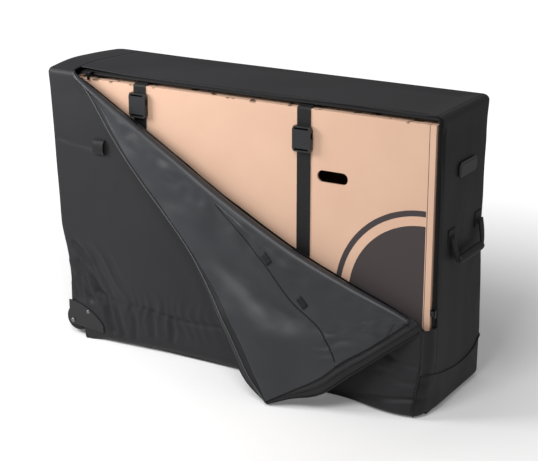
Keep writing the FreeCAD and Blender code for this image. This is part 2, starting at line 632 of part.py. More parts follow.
# Wheel corners: housing, guard, axle, and a wheel that turns on it
RIVET_STACK = "guard_thick + panel_thick"
rivets = []
axle_nuts = []
for side, sign in SIDES.items():
    outward = (0, sign, 0)
    housing_blank = plate(f"housing_blank_{side}", (LEFT_BASE, HOUSING_RIGHT),
                          on_side(sign, HOUSING_INNER, INNER_BACK), ("0", HOUSING_TOP))
    hollow = plate(f"housing_hollow_{side}", (f"{LEFT} - housing_wall", f"{HOUSING_RIGHT} - housing_wall"),
                   on_side(sign, f"{HOUSING_INNER} + housing_wall", f"{INNER_BACK} - housing_wall"),
                   ("-housing_wall", f"{HOUSING_TOP} - housing_wall"))
    keep(cut(f"wheel_housing_{side}", housing_blank, [hollow, side_holes[side][0], wheel_corners[side]]),
         f"wheel_housing_{side}")

    guard_offset = f"{BACK}" if sign < 0 else f"-({BACK} + guard_thick)"
    guard_blank = padded(f"guard_blank_{side}", "XZ_Plane", guard_outline, "guard_thick", guard_offset)
    keep(cut(f"corner_guard_{side}", guard_blank, side_holes[side]), f"corner_guard_{side}")

    wheel_place = (WHEEL_X, f"{sign} * ({BACK} - ({WHEEL_DEPTH}))", WHEEL_Z)
    guard_face = f"{WHEEL_DEPTH} + guard_thick"
    inner_face = "-(hub_length / 2 + hub_gap + housing_wall)"
    bolt_end = f"{inner_face} - axle_nut_thick - axle_radius / 2"
    bolt = turned(
        f"axle_bolt_{side}", wheel_place, outward,
        [(bolt_end, "0"), (f"{guard_face} + axle_head_thick", "0"),
         (f"{guard_face} + axle_head_thick", "axle_head_flat_radius"),
         (f"{guard_face} + axle_head_rim", "axle_head_radius"), (guard_face, "axle_head_radius"),
         (guard_face, "axle_radius"), (bolt_end, "axle_radius")])
    keep(bolt, f"axle_bolt_{side}")
    nut = turned(
        f"axle_nut_{side}", wheel_place, outward,
        [(inner_face, "axle_radius + running_gap"), (inner_face, "axle_nut_radius"),
         (f"{inner_face} - axle_nut_thick", "axle_nut_radius"),
         (f"{inner_face} - axle_nut_thick", "axle_radius + running_gap")])
    axle_nuts.append(nut)
    rivet = turned(
        f"rivet_{side}", (RIVET_X, f"{sign} * ({INNER_BACK})", RIVET_Z), outward,
        [("-rivet_head_thick", "0"), (f"{RIVET_STACK} + rivet_head_thick", "0"),
         (RIVET_STACK, "rivet_head_radius", (f"{RIVET_STACK} + rivet_dome_rise", "rivet_dome_radius")),
         (RIVET_STACK, "rivet_radius"), ("0", "rivet_radius"),
         ("0", "rivet_tail_radius"), ("-rivet_head_thick", "rivet_tail_radius")])
    rivets.append(rivet)

    web_face = "(wheel_width / 2 - tyre_edge)"
    hub = turned(
        f"hub_{side}", wheel_place, outward,
        [("-hub_length / 2", "bush_radius + running_gap"), ("hub_length / 2", "bush_radius + running_gap"),
         ("hub_length / 2", "hub_boss_radius"), (web_face, "hub_boss_radius + tyre_edge"),
         (web_face, "hub_radius"), (f"-{web_face}", "hub_radius"),
         (f"-{web_face}", "hub_boss_radius + tyre_edge"), ("-hub_length / 2", "hub_boss_radius")])
    keep(hub, f"hub_{side}")
    tyre = turned(
        f"tyre_{side}", wheel_place, outward,
        [("-wheel_width / 2", "hub_radius + running_gap"), ("wheel_width / 2", "hub_radius + running_gap"),
         ("wheel_width / 2", "wheel_radius - tyre_edge"), (web_face, "wheel_radius - tyre_crown"),
         (f"-{web_face}", "wheel_radius - tyre_crown", ("0", "wheel_radius")),
         ("-wheel_width / 2", "wheel_radius - tyre_edge")])
    keep(tyre, f"tyre_{side}")
    bushes = [
        turned(
            f"bush_{side}_{index}", wheel_place, outward,
            [(f"{end} * hub_length / 2", "axle_radius + running_gap"),
             (f"{end} * hub_length / 2", "bush_radius"),
             (f"{end} * (hub_length / 2 - bush_length)", "bush_radius"),
             (f"{end} * (hub_length / 2 - bush_length)", "axle_radius + running_gap")])
        for index, end in enumerate((-1, 1))]
    keep(group(f"wheel_bushes_{side}", bushes), f"wheel_bushes_{side}")
keep(group("axle_nuts", axle_nuts), "axle_nuts")
keep(group("rivets", rivets), "rivets")

# Flap: it hangs from the fold, leans out and rests its corner on the floor, or hangs straight if it is short
TOP_ANGLE = "atan2(flap_drop; flap_foot)"
SIDE_ANGLE = f"atan2(flap_drop; {FOLD_LENGTH} - flap_foot)"


def inset_triangle(inset):
    """The flap's triangle moved in from its two free edges: start, corner and end."""
    start = f"({inset}) / sin({TOP_ANGLE})"
    end = f"{FOLD_LENGTH} - ({inset}) / sin({SIDE_ANGLE})"
    scale = f"(({end}) - ({start})) / {FOLD_LENGTH}"
    return (start, "0"), (f"{start} + {scale} * flap_foot", f"{scale} * flap_drop"), (end, "0")


def trimmed(triangle):
    """Moves the two ends of a triangle down its free edges, clear of the fold."""
    start, corner, end = triangle
    trim = "flap_zip_trim"
    return ((f"{start[0]} + {trim} / tan({TOP_ANGLE})", trim), corner,
            (f"{end[0]} - {trim} / tan({SIDE_ANGLE})", trim))


def bowed(start, end, outward, bow):
    """The end of a free edge that bows outwards on its way from its start."""
    middle = tuple(f"(({a}) + ({b})) / 2 + {bow} * {c}" for a, b, c in zip(start, end, outward))
    return (*end, middle)


TOP_EDGE = ((f"-sin({TOP_ANGLE})", f"cos({TOP_ANGLE})"), "flap_top_bow")
SIDE_EDGE = ((f"sin({SIDE_ANGLE})", f"cos({SIDE_ANGLE})"), "flap_side_bow")
outer_start, outer_corner, outer_end = inset_triangle("0")
band_start, band_corner, band_end = inset_triangle("flap_band")
zip_start, zip_corner, zip_end = trimmed(inset_triangle("flap_zip_inset"))
tape_start, tape_corner, tape_end = trimmed(inset_triangle("flap_zip_inset + flap_zip_width"))
fold_slope = math.atan2(value_of(FOLD_FALL), value_of(FOLD_RUN))


def resting_tilt(corner, thickness):
    """How far the flap leans out when one of its corners stands just off the floor."""
    along, drop = (value_of(formula) for formula in corner)
    half = size(thickness) / 2
    fall = size("case_height") - along * math.sin(fold_slope) - size("floor_gap")
    lean = fall / math.cos(fold_slope) / math.hypot(drop, half)
    return math.acos(min(1.0, lean)) + math.atan2(half, drop)


flap_tilt = resting_tilt(outer_corner, "flap_thick")
hinge_y = value_of(f"{FRONT} - seam_gap - flap_thick / 2")
hinge_start = FreeCAD.Vector(value_of(FOLD_START), hinge_y, size("case_height"))
along_fold = FreeCAD.Vector(math.cos(fold_slope), 0, -math.sin(fold_slope))
down_flap = FreeCAD.Vector(-math.sin(fold_slope) * math.cos(flap_tilt), -math.sin(flap_tilt),
                           -math.cos(fold_slope) * math.cos(flap_tilt))
flap_normal = along_fold.cross(down_flap)
flap_placement = FreeCAD.Placement(hinge_start, FreeCAD.Rotation(along_fold, down_flap, flap_normal, "XYZ"))


def flap_piece(label, points, thickness, offset):
    """A piece that lies in the flap's plane."""
    piece = padded(label, "XY_Plane", points, thickness, offset)
    piece.Placement = flap_placement
    return piece


def band_piece(label, edge, outer, inner, thickness, offset):
    """A band along one free edge of the flap, between two bowed lines."""
    return flap_piece(label, [outer[0], bowed(*outer, *edge), inner[1], bowed(*reversed(inner), *edge)],
                      thickness, offset)


panel_corner = bowed(band_start, band_corner, *TOP_EDGE)
panel_end = bowed(band_corner, band_end, *SIDE_EDGE)
keep(flap_piece("flap_panel", [band_start, panel_corner, panel_end], "flap_thick", "-flap_thick / 2"),
     "flap_panel")
keep(band_piece("flap_gusset_top", TOP_EDGE, (outer_start, outer_corner), (band_start, band_corner),
                "flap_thick", "-flap_thick / 2"), "flap_gusset_top")
keep(band_piece("flap_gusset_side", SIDE_EDGE, (outer_corner, outer_end), (band_corner, band_end),
                "flap_thick", "-flap_thick / 2"), "flap_gusset_side")
ZIP_FACE = "-flap_thick / 2 - flap_zip_thick"
flap_zips = [
    band_piece("flap_zip_top", TOP_EDGE, (zip_start, zip_corner), (tape_start, tape_corner),
               "flap_zip_thick", ZIP_FACE),
    band_piece("flap_zip_side", SIDE_EDGE, (zip_corner, zip_end), (tape_corner, tape_end),
               "flap_zip_thick", ZIP_FACE),
]
keep(group("flap_zip", flap_zips), "flap_zip")

# Pocket on the flap's lining, closed by two tabs along its slanting mouth
POCKET_END = f"{FOLD_LENGTH} - (flap_band + pocket_end_gap) / sin({SIDE_ANGLE})"
MOUTH_END = f"{POCKET_END} - pocket_drop / tan({SIDE_ANGLE})"
POCKET_FACE = "-flap_thick / 2 - pocket_thick"
keep(flap_piece("flap_pocket", [("pocket_start", "pocket_rise"), (MOUTH_END, "pocket_drop"),
                                (f"{POCKET_END} - pocket_rise / tan({SIDE_ANGLE})", "pocket_rise")],
                "pocket_thick", POCKET_FACE), "flap_pocket")
mouth_angle = math.degrees(math.atan2(value_of("pocket_drop - pocket_rise"),
                                      value_of(f"{MOUTH_END} - pocket_start")))
mouth_turn = FreeCAD.Rotation(FreeCAD.Vector(0, 0, 1), mouth_angle)
mouth_start = FreeCAD.Vector(size("pocket_start"), size("pocket_rise"), 0)
mouth_length = value_of(f"hypot(pocket_drop - pocket_rise; {MOUTH_END} - pocket_start)")
tabs = []
for index, shift in enumerate((-0.5, 0.5)):
    tab = padded(
        f"pocket_tab_{index}", "XY_Plane",
        [("-pocket_tab_length / 2", "-pocket_tab_width / 2"),
         ("pocket_tab_length / 2", "-pocket_tab_width / 2"),
         ("pocket_tab_length / 2", "-seam_gap"), ("-pocket_tab_length / 2", "-seam_gap")],
        "pocket_tab_thick", f"{POCKET_FACE} - pocket_tab_thick")
    along_mouth = FreeCAD.Vector(mouth_length / 2 + shift * size("pocket_tab_spacing"), 0, 0)
    tab.Placement = flap_placement.multiply(
        FreeCAD.Placement(mouth_start + mouth_turn.multVec(along_mouth), mouth_turn))
    tabs.append(tab)
keep(group("pocket_tabs", tabs), "pocket_tabs")

# End handle: two webbing legs that hang from sewn patches and carry a round grip
HANDLE_PIVOT = f"{RIGHT} + patch_thick + seam_gap + handle_webbing_thick / 2"
HALF_SPREAD = "handle_width / 2"
handle_tilt = math.radians(size("handle_tilt"))
hang = FreeCAD.Vector(math.sin(handle_tilt), 0, -math.cos(handle_tilt))
handle_pivot = FreeCAD.Vector(value_of(HANDLE_PIVOT), size("handle_shift"), size("handle_height"))
legs = []
for index, sign in enumerate((-1, 1)):
    leg = padded(
        f"handle_leg_{index}", "XY_Plane",
        [(f"{HALF_SPREAD} - handle_webbing_width / 2", "0"),
         (f"{HALF_SPREAD} + handle_webbing_width / 2", "0"),
         ("grip_length / 2", "handle_drop + handle_leg_end / 2", (HALF_SPREAD, "handle_bow_drop")),
         ("grip_length / 2", "handle_drop - handle_leg_end / 2")],
        "handle_webbing_thick", "-handle_webbing_thick / 2")
    across = FreeCAD.Vector(0, sign, 0)
    leg.Placement = FreeCAD.Placement(
        handle_pivot, FreeCAD.Rotation(across, hang, across.cross(hang), "XYZ"))
    legs.append(leg)
keep(group("handle_webbing", legs), "handle_webbing")
grip_place = handle_pivot + hang * size("handle_drop")
grip = turned(
    "handle_grip", ("0", "0", "0"), (0, 1, 0),
    [("-grip_length / 2", "0"), ("grip_length / 2", "0"), ("grip_length / 2", "grip_end_radius"),
     ("grip_length / 2 - grip_rounding", "grip_radius"),
     ("-grip_length / 2 + grip_rounding", "grip_radius"),
     ("-grip_length / 2", "grip_end_radius")])
grip.Placement = FreeCAD.Placement(grip_place, grip.Placement.Rotation)
keep(grip, "handle_grip")
patches = [
    plate(f"handle_patch_{index}", (RIGHT, f"{RIGHT} + patch_thick"),
          side_to_side(f"handle_shift {sign} {HALF_SPREAD}", "patch_width"),
          ("handle_height - patch_height / 2", "handle_height + patch_height / 2"))
    for index, sign in enumerate("-+")]
keep(group("handle_patches", patches), "handle_patches")


def chamfered(middle, level, length, height, corner):
    """A rectangle with its four corners cut off."""
    half_length, half_height = f"({length}) / 2", f"({height}) / 2"
    return [
        (f"{middle} - {half_length} + {corner}", f"{level} - {half_height}"),
        (f"{middle} + {half_length} - {corner}", f"{level} - {half_height}"),
        (f"{middle} + {half_length}", f"{level} - {half_height} + {corner}"),
        (f"{middle} + {half_length}", f"{level} + {half_height} - {corner}"),
        (f"{middle} + {half_length} - {corner}", f"{level} + {half_height}"),
        (f"{middle} - {half_length} + {corner}", f"{level} + {half_height}"),
        (f"{middle} - {half_length}", f"{level} + {half_height} - {corner}"),
        (f"{middle} - {half_length}", f"{level} - {half_height} + {corner}"),
    ]


# Bare rubber badge with a raised middle
BADGE_MIDDLE = f"{TOP} - badge_drop"
badge = padded(
    "badge", "YZ_Plane",
    chamfered("badge_shift", BADGE_MIDDLE, "badge_length", "badge_height", "badge_corner"),
    "badge_thick", RIGHT)
pad_on(badge, "YZ_Plane",
       chamfered("badge_shift", BADGE_MIDDLE, "badge_length - 2 * badge_rim", "badge_height - 2 * badge_rim",
                 "badge_corner / 2"),
       "badge_thick + badge_raise", RIGHT)
keep(badge, "badge")

# Webbing loop on the front panel
LOOP_HIGH = f"{TOP} - loop_drop + loop_height / 2"
LOOP_LOW = f"{TOP} - loop_drop - loop_height / 2"
front_loop = padded(
    "front_loop", "YZ_Plane",
    [(FRONT, LOOP_HIGH), (f"{FRONT} - loop_thick", LOOP_HIGH),
     (f"{FRONT} - loop_reach", f"{LOOP_HIGH} - 2 * loop_foot"),
     (f"{FRONT} - loop_reach", f"{LOOP_LOW} + 2 * loop_foot"),
     (f"{FRONT} - loop_thick", LOOP_LOW), (FRONT, LOOP_LOW), (FRONT, f"{LOOP_LOW} + loop_foot"),
     (f"{FRONT} - loop_reach + loop_thick", f"{LOOP_LOW} + 2 * loop_foot + loop_thick / 2"),
     (f"{FRONT} - loop_reach + loop_thick", f"{LOOP_HIGH} - 2 * loop_foot - loop_thick / 2"),
     (FRONT, f"{LOOP_HIGH} - loop_foot")],
    "loop_width", f"{LEFT} + loop_inset - loop_width / 2")
keep(front_loop, "front_loop")

doc.recompute()

failed = [item.Name for item in doc.Objects if {"Invalid", "Error"} & set(item.State)]
if failed:
    raise RuntimeError(f"objects that failed: {failed}")
for node in nodes:
    if node.Shape.isNull() or not node.Shape.isValid():
        raise RuntimeError(f"bad shape: {node.Label}")

os.makedirs("parts", exist_ok=True)
for node in nodes:
    node.Shape.exportStep(f"parts/{node.Label}.step")
print(f"flap leans out by {math.degrees(flap_tilt):.3f} degrees")
print(f"fold slopes by {math.degrees(fold_slope):.3f} degrees")
print(f"{len(nodes)} nodes")
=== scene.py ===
"""Looks of a soft bike travel case: its cloth, webbing, carton, finishes, stage and camera."""

import json
import math

import bpy
from mathutils import Matrix, Vector, noise


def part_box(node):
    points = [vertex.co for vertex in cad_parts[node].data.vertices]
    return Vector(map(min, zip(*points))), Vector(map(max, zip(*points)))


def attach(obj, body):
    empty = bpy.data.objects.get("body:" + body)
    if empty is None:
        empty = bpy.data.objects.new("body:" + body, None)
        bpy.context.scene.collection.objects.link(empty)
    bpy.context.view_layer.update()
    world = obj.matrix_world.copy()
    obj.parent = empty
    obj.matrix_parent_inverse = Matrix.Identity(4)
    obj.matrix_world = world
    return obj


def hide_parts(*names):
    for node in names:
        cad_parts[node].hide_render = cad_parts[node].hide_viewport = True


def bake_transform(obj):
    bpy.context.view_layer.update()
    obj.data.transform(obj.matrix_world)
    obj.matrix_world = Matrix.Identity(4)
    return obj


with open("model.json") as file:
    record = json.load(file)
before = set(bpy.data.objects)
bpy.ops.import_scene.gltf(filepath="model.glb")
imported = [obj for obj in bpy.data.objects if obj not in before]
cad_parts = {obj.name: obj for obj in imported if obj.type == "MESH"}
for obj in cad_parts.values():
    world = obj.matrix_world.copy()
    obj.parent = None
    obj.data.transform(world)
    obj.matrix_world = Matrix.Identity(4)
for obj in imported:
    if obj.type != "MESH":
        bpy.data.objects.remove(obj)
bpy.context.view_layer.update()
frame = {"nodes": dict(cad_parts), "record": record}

bl_info = {
    "name": "Bike travel case",
    "version": (1, 0, 0),
    "blender": (4, 2, 0),
    "location": "View3D > Sidebar > Travel case",
    "description": "Dresses the frame of a soft bike travel case",
    "category": "Object",
}

MM = 0.001


def joint_named(name):
    """One joint of the frame's record."""
    return next(joint for joint in frame["record"]["behaviour"]["joints"] if joint["name"] == name)


# Places read from the frame
FRONT_LOW = Vector(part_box("front_panel")[0])
BACK_HIGH = Vector(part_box("back_panel")[1])
TOP_LOW, TOP_HIGH = (Vector(corner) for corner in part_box("top_panel"))
BASE_LOW = Vector(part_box("base_panel")[0])
PANEL_THICK = TOP_HIGH.z - TOP_LOW.z
WELL_LOW, WELL_HIGH = (Vector(corner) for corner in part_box("wheel_housing_rear"))
GUARD_LOW, GUARD_HIGH = (Vector(corner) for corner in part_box("corner_guard_rear"))
# How far the cloth runs behind a corner guard, and how far round the guard it lies flat
GUARD_LAP = 5 * MM
GUARD_RIM = 12 * MM
LEFT = FRONT_LOW.x
RIGHT = BACK_HIGH.x
FRONT = FRONT_LOW.y
BACK = BACK_HIGH.y
HEIGHT = BACK_HIGH.z
ZIP_LINE = TOP_LOW.y
LEFT_LEAN = BASE_LOW.x - PANEL_THICK - LEFT
HALF_LENGTH = (RIGHT - LEFT) / 2
HALF_WIDTH = (BACK - FRONT) / 2


def linear(hex_colour):
    """An sRGB colour written as hex, as linear values."""
    channels = [int(hex_colour[start:start + 2], 16) / 255 for start in (1, 3, 5)]
    straight = [value / 12.92 if value <= 0.04045 else ((value + 0.055) / 1.055) ** 2.4 for value in channels]
    return (*straight, 1.0)


class TravelCaseSettings(bpy.types.PropertyGroup):
    """What can be set on the dressed case."""

    corner_radius: bpy.props.FloatProperty(
        name="Corner radius", description="Rounding of the upright corners", default=38 * MM, unit="LENGTH")
    top_radius: bpy.props.FloatProperty(
        name="Top radius", description="Rounding of the top edges", default=16 * MM, unit="LENGTH")
    base_radius: bpy.props.FloatProperty(
        name="Base radius", description="Rounding of the bottom edges", default=24 * MM, unit="LENGTH")
    cloth_thickness: bpy.props.FloatProperty(
        name="Cloth thickness", description="Thickness of the padded cloth", default=3 * MM, unit="LENGTH")
    billow: bpy.props.FloatProperty(
        name="Billow", description="Depth of the broad waves in the cloth", default=5 * MM, unit="LENGTH")
    wrinkle: bpy.props.FloatProperty(
        name="Wrinkle", description="Depth of the small creases in the cloth",
        default=1.2 * MM, unit="LENGTH")
    gathers: bpy.props.FloatProperty(
        name="Gathers", description="Depth of the folds round the wheel corner",
        default=6.5 * MM, unit="LENGTH")
    cell: bpy.props.FloatProperty(
        name="Cell", description="Spacing of the cloth's mesh", default=7 * MM, unit="LENGTH")
    cloth_colour: bpy.props.FloatVectorProperty(
        name="Cloth colour", description="Lighter tone of the bag's cloth",
        default=linear("#272729"), size=4, min=0, max=1, subtype="COLOR")
    cloth_shade: bpy.props.FloatVectorProperty(
        name="Cloth shade", description="Darker tone of the bag's cloth",
        default=linear("#222224"), size=4, min=0, max=1, subtype="COLOR")
    lining_colour: bpy.props.FloatVectorProperty(
        name="Lining colour", description="Lighter tone of the flap's lining",
        default=linear("#333438"), size=4, min=0, max=1, subtype="COLOR")
    lining_shade: bpy.props.FloatVectorProperty(
        name="Lining shade", description="Darker tone of the flap's lining",
        default=linear("#2a2b2e"), size=4, min=0, max=1, subtype="COLOR")
    webbing_colour: bpy.props.FloatVectorProperty(
        name="Webbing colour", description="Colour of the straps, the tabs and the end handle",
        default=linear("#121214"), size=4, min=0, max=1, subtype="COLOR")
    carton_colour: bpy.props.FloatVectorProperty(
        name="Carton colour", description="Lighter tone of the carton",
        default=linear("#ddb8a0"), size=4, min=0, max=1, subtype="COLOR")
    carton_shade: bpy.props.FloatVectorProperty(
        name="Carton shade", description="Darker tone of the carton",
        default=linear("#d1ab92"), size=4, min=0, max=1, subtype="COLOR")
    print_colour: bpy.props.FloatVectorProperty(
        name="Print colour", description="Colour of the disc and ring printed on the carton",
        default=linear("#463f40"), size=4, min=0, max=1, subtype="COLOR")


def settings():
    """The settings kept on the scene."""
    return bpy.context.scene.travel_case


# Small sums
def mix(a, b, share):
    """A value part of the way from a to b."""
    return a + (b - a) * share


def ease(value, low, high):
    """Rises smoothly from 0 at low to 1 at high."""
    share = min(1.0, max(0.0, (value - low) / (high - low)))
    return share * share * (3 - 2 * share)


def fade(value, low, high):
    """Falls smoothly from 1 at low to 0 at high."""
    return 1 - ease(value, low, high)


def hump(value, low, high):
    """Rises smoothly from 0 at low to 1 in the middle and falls to 0 at high."""
    middle = (low + high) / 2
    return ease(value, low, middle) * fade(value, middle, high)


def steps(low, high, spacing):
    """Evenly spaced values from low to high, no further apart than spacing."""
    count = max(1, math.ceil((high - low) / spacing - 1e-6))
    return [mix(low, high, index / count) for index in range(count + 1)]


def cloudy(point, size, offset=0.0):
    """Smooth noise between about -1 and 1, with features of one size."""
    return noise.noise(point / size + Vector((offset, offset * 1.7, offset * 0.6)))


def smooth_at(spots, place_on):
    """Height at a place on the smooth curve through (place, height) spots."""
    index = next((i for i in range(1, len(spots)) if place_on < spots[i][0]), len(spots) - 1)
    before, here, there, after = (spots[min(max(i, 0), len(spots) - 1)] for i in range(index - 2, index + 2))
    width = there[0] - here[0]
    t = min(1.0, max(0.0, (place_on - here[0]) / width))
    slope_here = (there[1] - before[1]) / (there[0] - before[0]) * width
    slope_there = (after[1] - here[1]) / (after[0] - here[0]) * width
    rise = here[1] * (1 + 2 * t) * (1 - t) ** 2 + there[1] * t ** 2 * (3 - 2 * t)
    return rise + slope_here * t * (1 - t) ** 2 - slope_there * t ** 2 * (1 - t)


def nearness(spot, line, width):
    """Is 1 on a line of spots and fades to 0 at about its width in millimetres from it."""
    nearest = math.inf
    for first, second in zip(line, line[1:]):
        start, run = Vector(first), Vector(second) - Vector(first)
        share = min(1.0, max(0.0, (spot - start).dot(run) / run.length_squared))
        nearest = min(nearest, (start + run * share - spot).length)
    return math.exp(-(nearest / width) ** 2)


# Meshes
def new_object(name, vertices, faces, materials, indices):
    """A mesh object with smooth shading and a material for each face."""
    mesh = bpy.data.meshes.new(name)
    mesh.from_pydata([tuple(vertex) for vertex in vertices], [], faces)
    for material in materials:
        mesh.materials.append(material)
    mesh.polygons.foreach_set("material_index", indices)
    mesh.polygons.foreach_set("use_smooth", [True] * len(faces))
    mesh.update()
    obj = bpy.data.objects.new(name, mesh)
    bpy.context.scene.collection.objects.link(obj)
    return obj


def grid_normals(rows):
    """Unit normals of a grid of points, from the neighbours of each point."""
    last_row, last_column = len(rows) - 1, len(rows[0]) - 1
    normals = []
    for r, row in enumerate(rows):
        line = []
        for c in range(len(row)):
            across = row[min(c + 1, last_column)] - row[max(c - 1, 0)]
            upward = rows[min(r + 1, last_row)][c] - rows[max(r - 1, 0)][c]
            normal = across.cross(upward)
            line.append(normal.normalized() if normal.length > 1e-12 else Vector((0, 0, 1)))
        normals.append(line)
    return normals


def skin(name, rows, thickness, outside, inside):
    """A closed sheet: a grid of outer points, an inner face behind it and a rim."""
    normals = grid_normals(rows)
    row_count, column_count = len(rows), len(rows[0])
    vertices = [point for row in rows for point in row]
    back = len(vertices)
    for row, line in zip(rows, normals):
        vertices.extend(point - normal * thickness for point, normal in zip(row, line))
    faces, indices = [], []
    for r in range(row_count - 1):
        for c in range(column_count - 1):
            corner = r * column_count + c
            quad = (corner, corner + 1, corner + column_count + 1, corner + column_count)
            faces.append(quad)
            indices.append(0)
            faces.append(tuple(back + index for index in reversed(quad)))
            indices.append(1)
    bottom = list(range(column_count))
    right = [r * column_count + column_count - 1 for r in range(row_count)]
    top = [(row_count - 1) * column_count + c for c in reversed(range(column_count))]
    left = [r * column_count for r in reversed(range(row_count))]
    for edge in (bottom, right, top, left):
        for first, second in zip(edge, edge[1:]):
            faces.append((second, first, back + first, back + second))
            indices.append(0)
    return new_object(name, vertices, faces, [outside, inside], indices)


def strip(name, path, across, width, thickness, material):
    """A flat band of webbing: path holds points with their outward directions."""
    bulge = thickness / 2
    rows = []
    for point, outward in path:
        rows.append([
            point - across * width / 2 - outward * bulge,
            point - across * width / 2 + outward * bulge,
            point + across * width / 2 + outward * bulge,
            point + across * width / 2 - outward * bulge,
        ])
    vertices = [corner for row in rows for corner in row]
    faces = []
    for r in range(len(rows) - 1):
        for c in range(4):
            near, far = 4 * r + c, 4 * r + (c + 1) % 4
            faces.append((near, far, far + 4, near + 4))
    end = 4 * (len(rows) - 1)
    faces.append((3, 2, 1, 0))
    faces.append((end, end + 1, end + 2, end + 3))
    obj = new_object(name, vertices, faces, [material], [0] * len(faces))
    obj.data.polygons.foreach_set("use_smooth", [False] * len(faces))
    return obj


def bead(name, points, radius, look):
    """A round cord along points."""
    curve = bpy.data.curves.new(name, "CURVE")
    curve.dimensions = "3D"
    curve.bevel_depth = radius
    curve.bevel_resolution = 2
    spline = curve.splines.new("POLY")
    spline.points.add(len(points) - 1)
    for target, point in zip(spline.points, points):
        target.co = (*point, 1)
    obj = bpy.data.objects.new(name, curve)
    bpy.context.scene.collection.objects.link(obj)
    mesh = bpy.data.meshes.new_from_object(obj.evaluated_get(bpy.context.evaluated_depsgraph_get()))
    bpy.data.objects.remove(obj)
    bpy.data.curves.remove(curve)
    mesh.name = name
    mesh.materials.clear()
    mesh.materials.append(finish(look))
    mesh.polygons.foreach_set("use_smooth", [True] * len(mesh.polygons))
    cord = bpy.data.objects.new(name, mesh)
    bpy.context.scene.collection.objects.link(cord)
    return cord


def place(obj, nodes, body="case"):
    """Puts a new piece on a body, in place of CAD nodes."""
    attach(obj, body)
    if nodes:
        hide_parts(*nodes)
    return obj


# Materials
NOISE = "ShaderNodeTexNoise"
MATH = "ShaderNodeMath"
MAP_RANGE = "ShaderNodeMapRange"
MIX = "ShaderNodeMixRGB"
BUMP = "ShaderNodeBump"
SPLIT = "ShaderNodeSeparateXYZ"


def set_inputs(tree, node, inputs):
    """Sets or links inputs of a node, by name or number."""
    for socket, value in inputs.items():
        if isinstance(value, bpy.types.NodeSocket):
            tree.links.new(value, node.inputs[socket])
        else:
            node.inputs[socket].default_value = value


def add_node(tree, kind, output, inputs, **options):
    """Adds a node with its options and inputs, and gives one of its outputs."""
    node = tree.nodes.new(kind)
    for name, value in options.items():
        setattr(node, name, value)
    set_inputs(tree, node, inputs)
    return node.outputs[output]


def start_material(name, colour):
    """A new material's node tree, its plain shader and the place on the object."""
    material = bpy.data.materials.new(name)
    material.use_nodes = True
    material.diffuse_color = colour
    tree = material.node_tree
    shader = tree.nodes["Principled BSDF"]
    set_inputs(tree, shader, {"Base Color": colour})
    return tree, shader, add_node(tree, "ShaderNodeTexCoord", "Object", {})


def woven_cloth(name, dark, light, roughness, sheen, sheen_tint):
    """Coated plain-weave polyester: slow changes of tone, a fine grain and a soft sheen."""
    tone_size = 160 * MM
    # The threads lie closer than this, and are drawn coarser so that they show
    thread_spacing = 2.5 * MM
    tree, shader, where = start_material(name, light)
    tone = add_node(tree, NOISE, "Fac", {"Vector": where, "Scale": 1 / tone_size, "Detail": 3.0})
    grain = add_node(tree, NOISE, "Fac", {"Vector": where, "Scale": 1 / thread_spacing, "Detail": 1.0})
    set_inputs(tree, shader, {
        "Base Color": add_node(tree, MIX, "Color", {"Fac": tone, "Color1": dark, "Color2": light}),
        "Roughness": roughness,
        "Specular IOR Level": 0.25,
        "Sheen Weight": sheen,
        "Sheen Roughness": 0.5,
        "Sheen Tint": sheen_tint,
        "Normal": add_node(tree, BUMP, "Normal", {"Height": grain, "Strength": 0.25, "Distance": 0.4 * MM}),
    })


def coated_lining(name, dark, light):
    """Grey lining with a smooth rubbery coat: it shines in broad soft bands and creases finely."""
    tone_size = 220 * MM
    shine_size = 60 * MM
    crease_size = 26 * MM
    tree, shader, where = start_material(name, light)
    tone = add_node(tree, NOISE, "Fac", {"Vector": where, "Scale": 1 / tone_size, "Detail": 3.0})
    shine = add_node(tree, NOISE, "Fac", {"Vector": where, "Scale": 1 / shine_size, "Detail": 3.0})
    creases = add_node(tree, NOISE, "Fac", {"Vector": where, "Scale": 1 / crease_size, "Detail": 4.0})
    set_inputs(tree, shader, {
        "Base Color": add_node(tree, MIX, "Color", {"Fac": tone, "Color1": dark, "Color2": light}),
        "Roughness": add_node(tree, MAP_RANGE, "Result", {"Value": shine, "To Min": 0.38, "To Max": 0.48}),
        "Specular IOR Level": 0.42,
        "Normal": add_node(tree, BUMP, "Normal", {"Height": creases, "Strength": 0.35, "Distance": 1.2 * MM}),
    })


# Length of one turn of a wave texture at scale 1
WAVE_TURN = math.tau / 20


def ribbed_webbing(name, colour):
    """Black polyester webbing: a dull face with ribs along it."""
    # Real ribs are about half as wide, and are drawn coarser so that they show
    rib_spacing = 3.49 * MM
    tree, shader, where = start_material(name, colour)
    ribs = add_node(tree, "ShaderNodeTexWave", "Fac", {
        "Vector": where, "Scale": WAVE_TURN / rib_spacing, "Distortion": 0.4})
    set_inputs(tree, shader, {
        "Roughness": 0.62,
        "Specular IOR Level": 0.3,
        "Sheen Weight": 0.05,
        "Normal": add_node(tree, BUMP, "Normal", {"Height": ribs, "Strength": 0.3, "Distance": 0.5 * MM}),
    })


# Plain print on the carton's face: a disc with a thin ring round it
PRINT_CENTRE = (568 * MM, 0.0, 300 * MM)
DISC_RADIUS = 215.6 * MM
RING_RADIUS = 248.4 * MM
RING_HALF_WIDTH = 7.8 * MM
# Painted shade along the crease by the carton's end, and the strip of wear along its top edge
CARTON_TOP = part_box("carton_front_wall")[1][2]
CREASE_SHADE_X = 571 * MM
CREASE_SHADE_HALF = 0.9 * MM
WORN_DEPTH = 7 * MM
WORN_FROM = 0.6
WORN_TO = 0.68
# Colour of the splits of wear along the top edge, and of the painted shade line in the crease
WEAR_AND_CREASE_SHADE_COLOUR = "#5a4636"


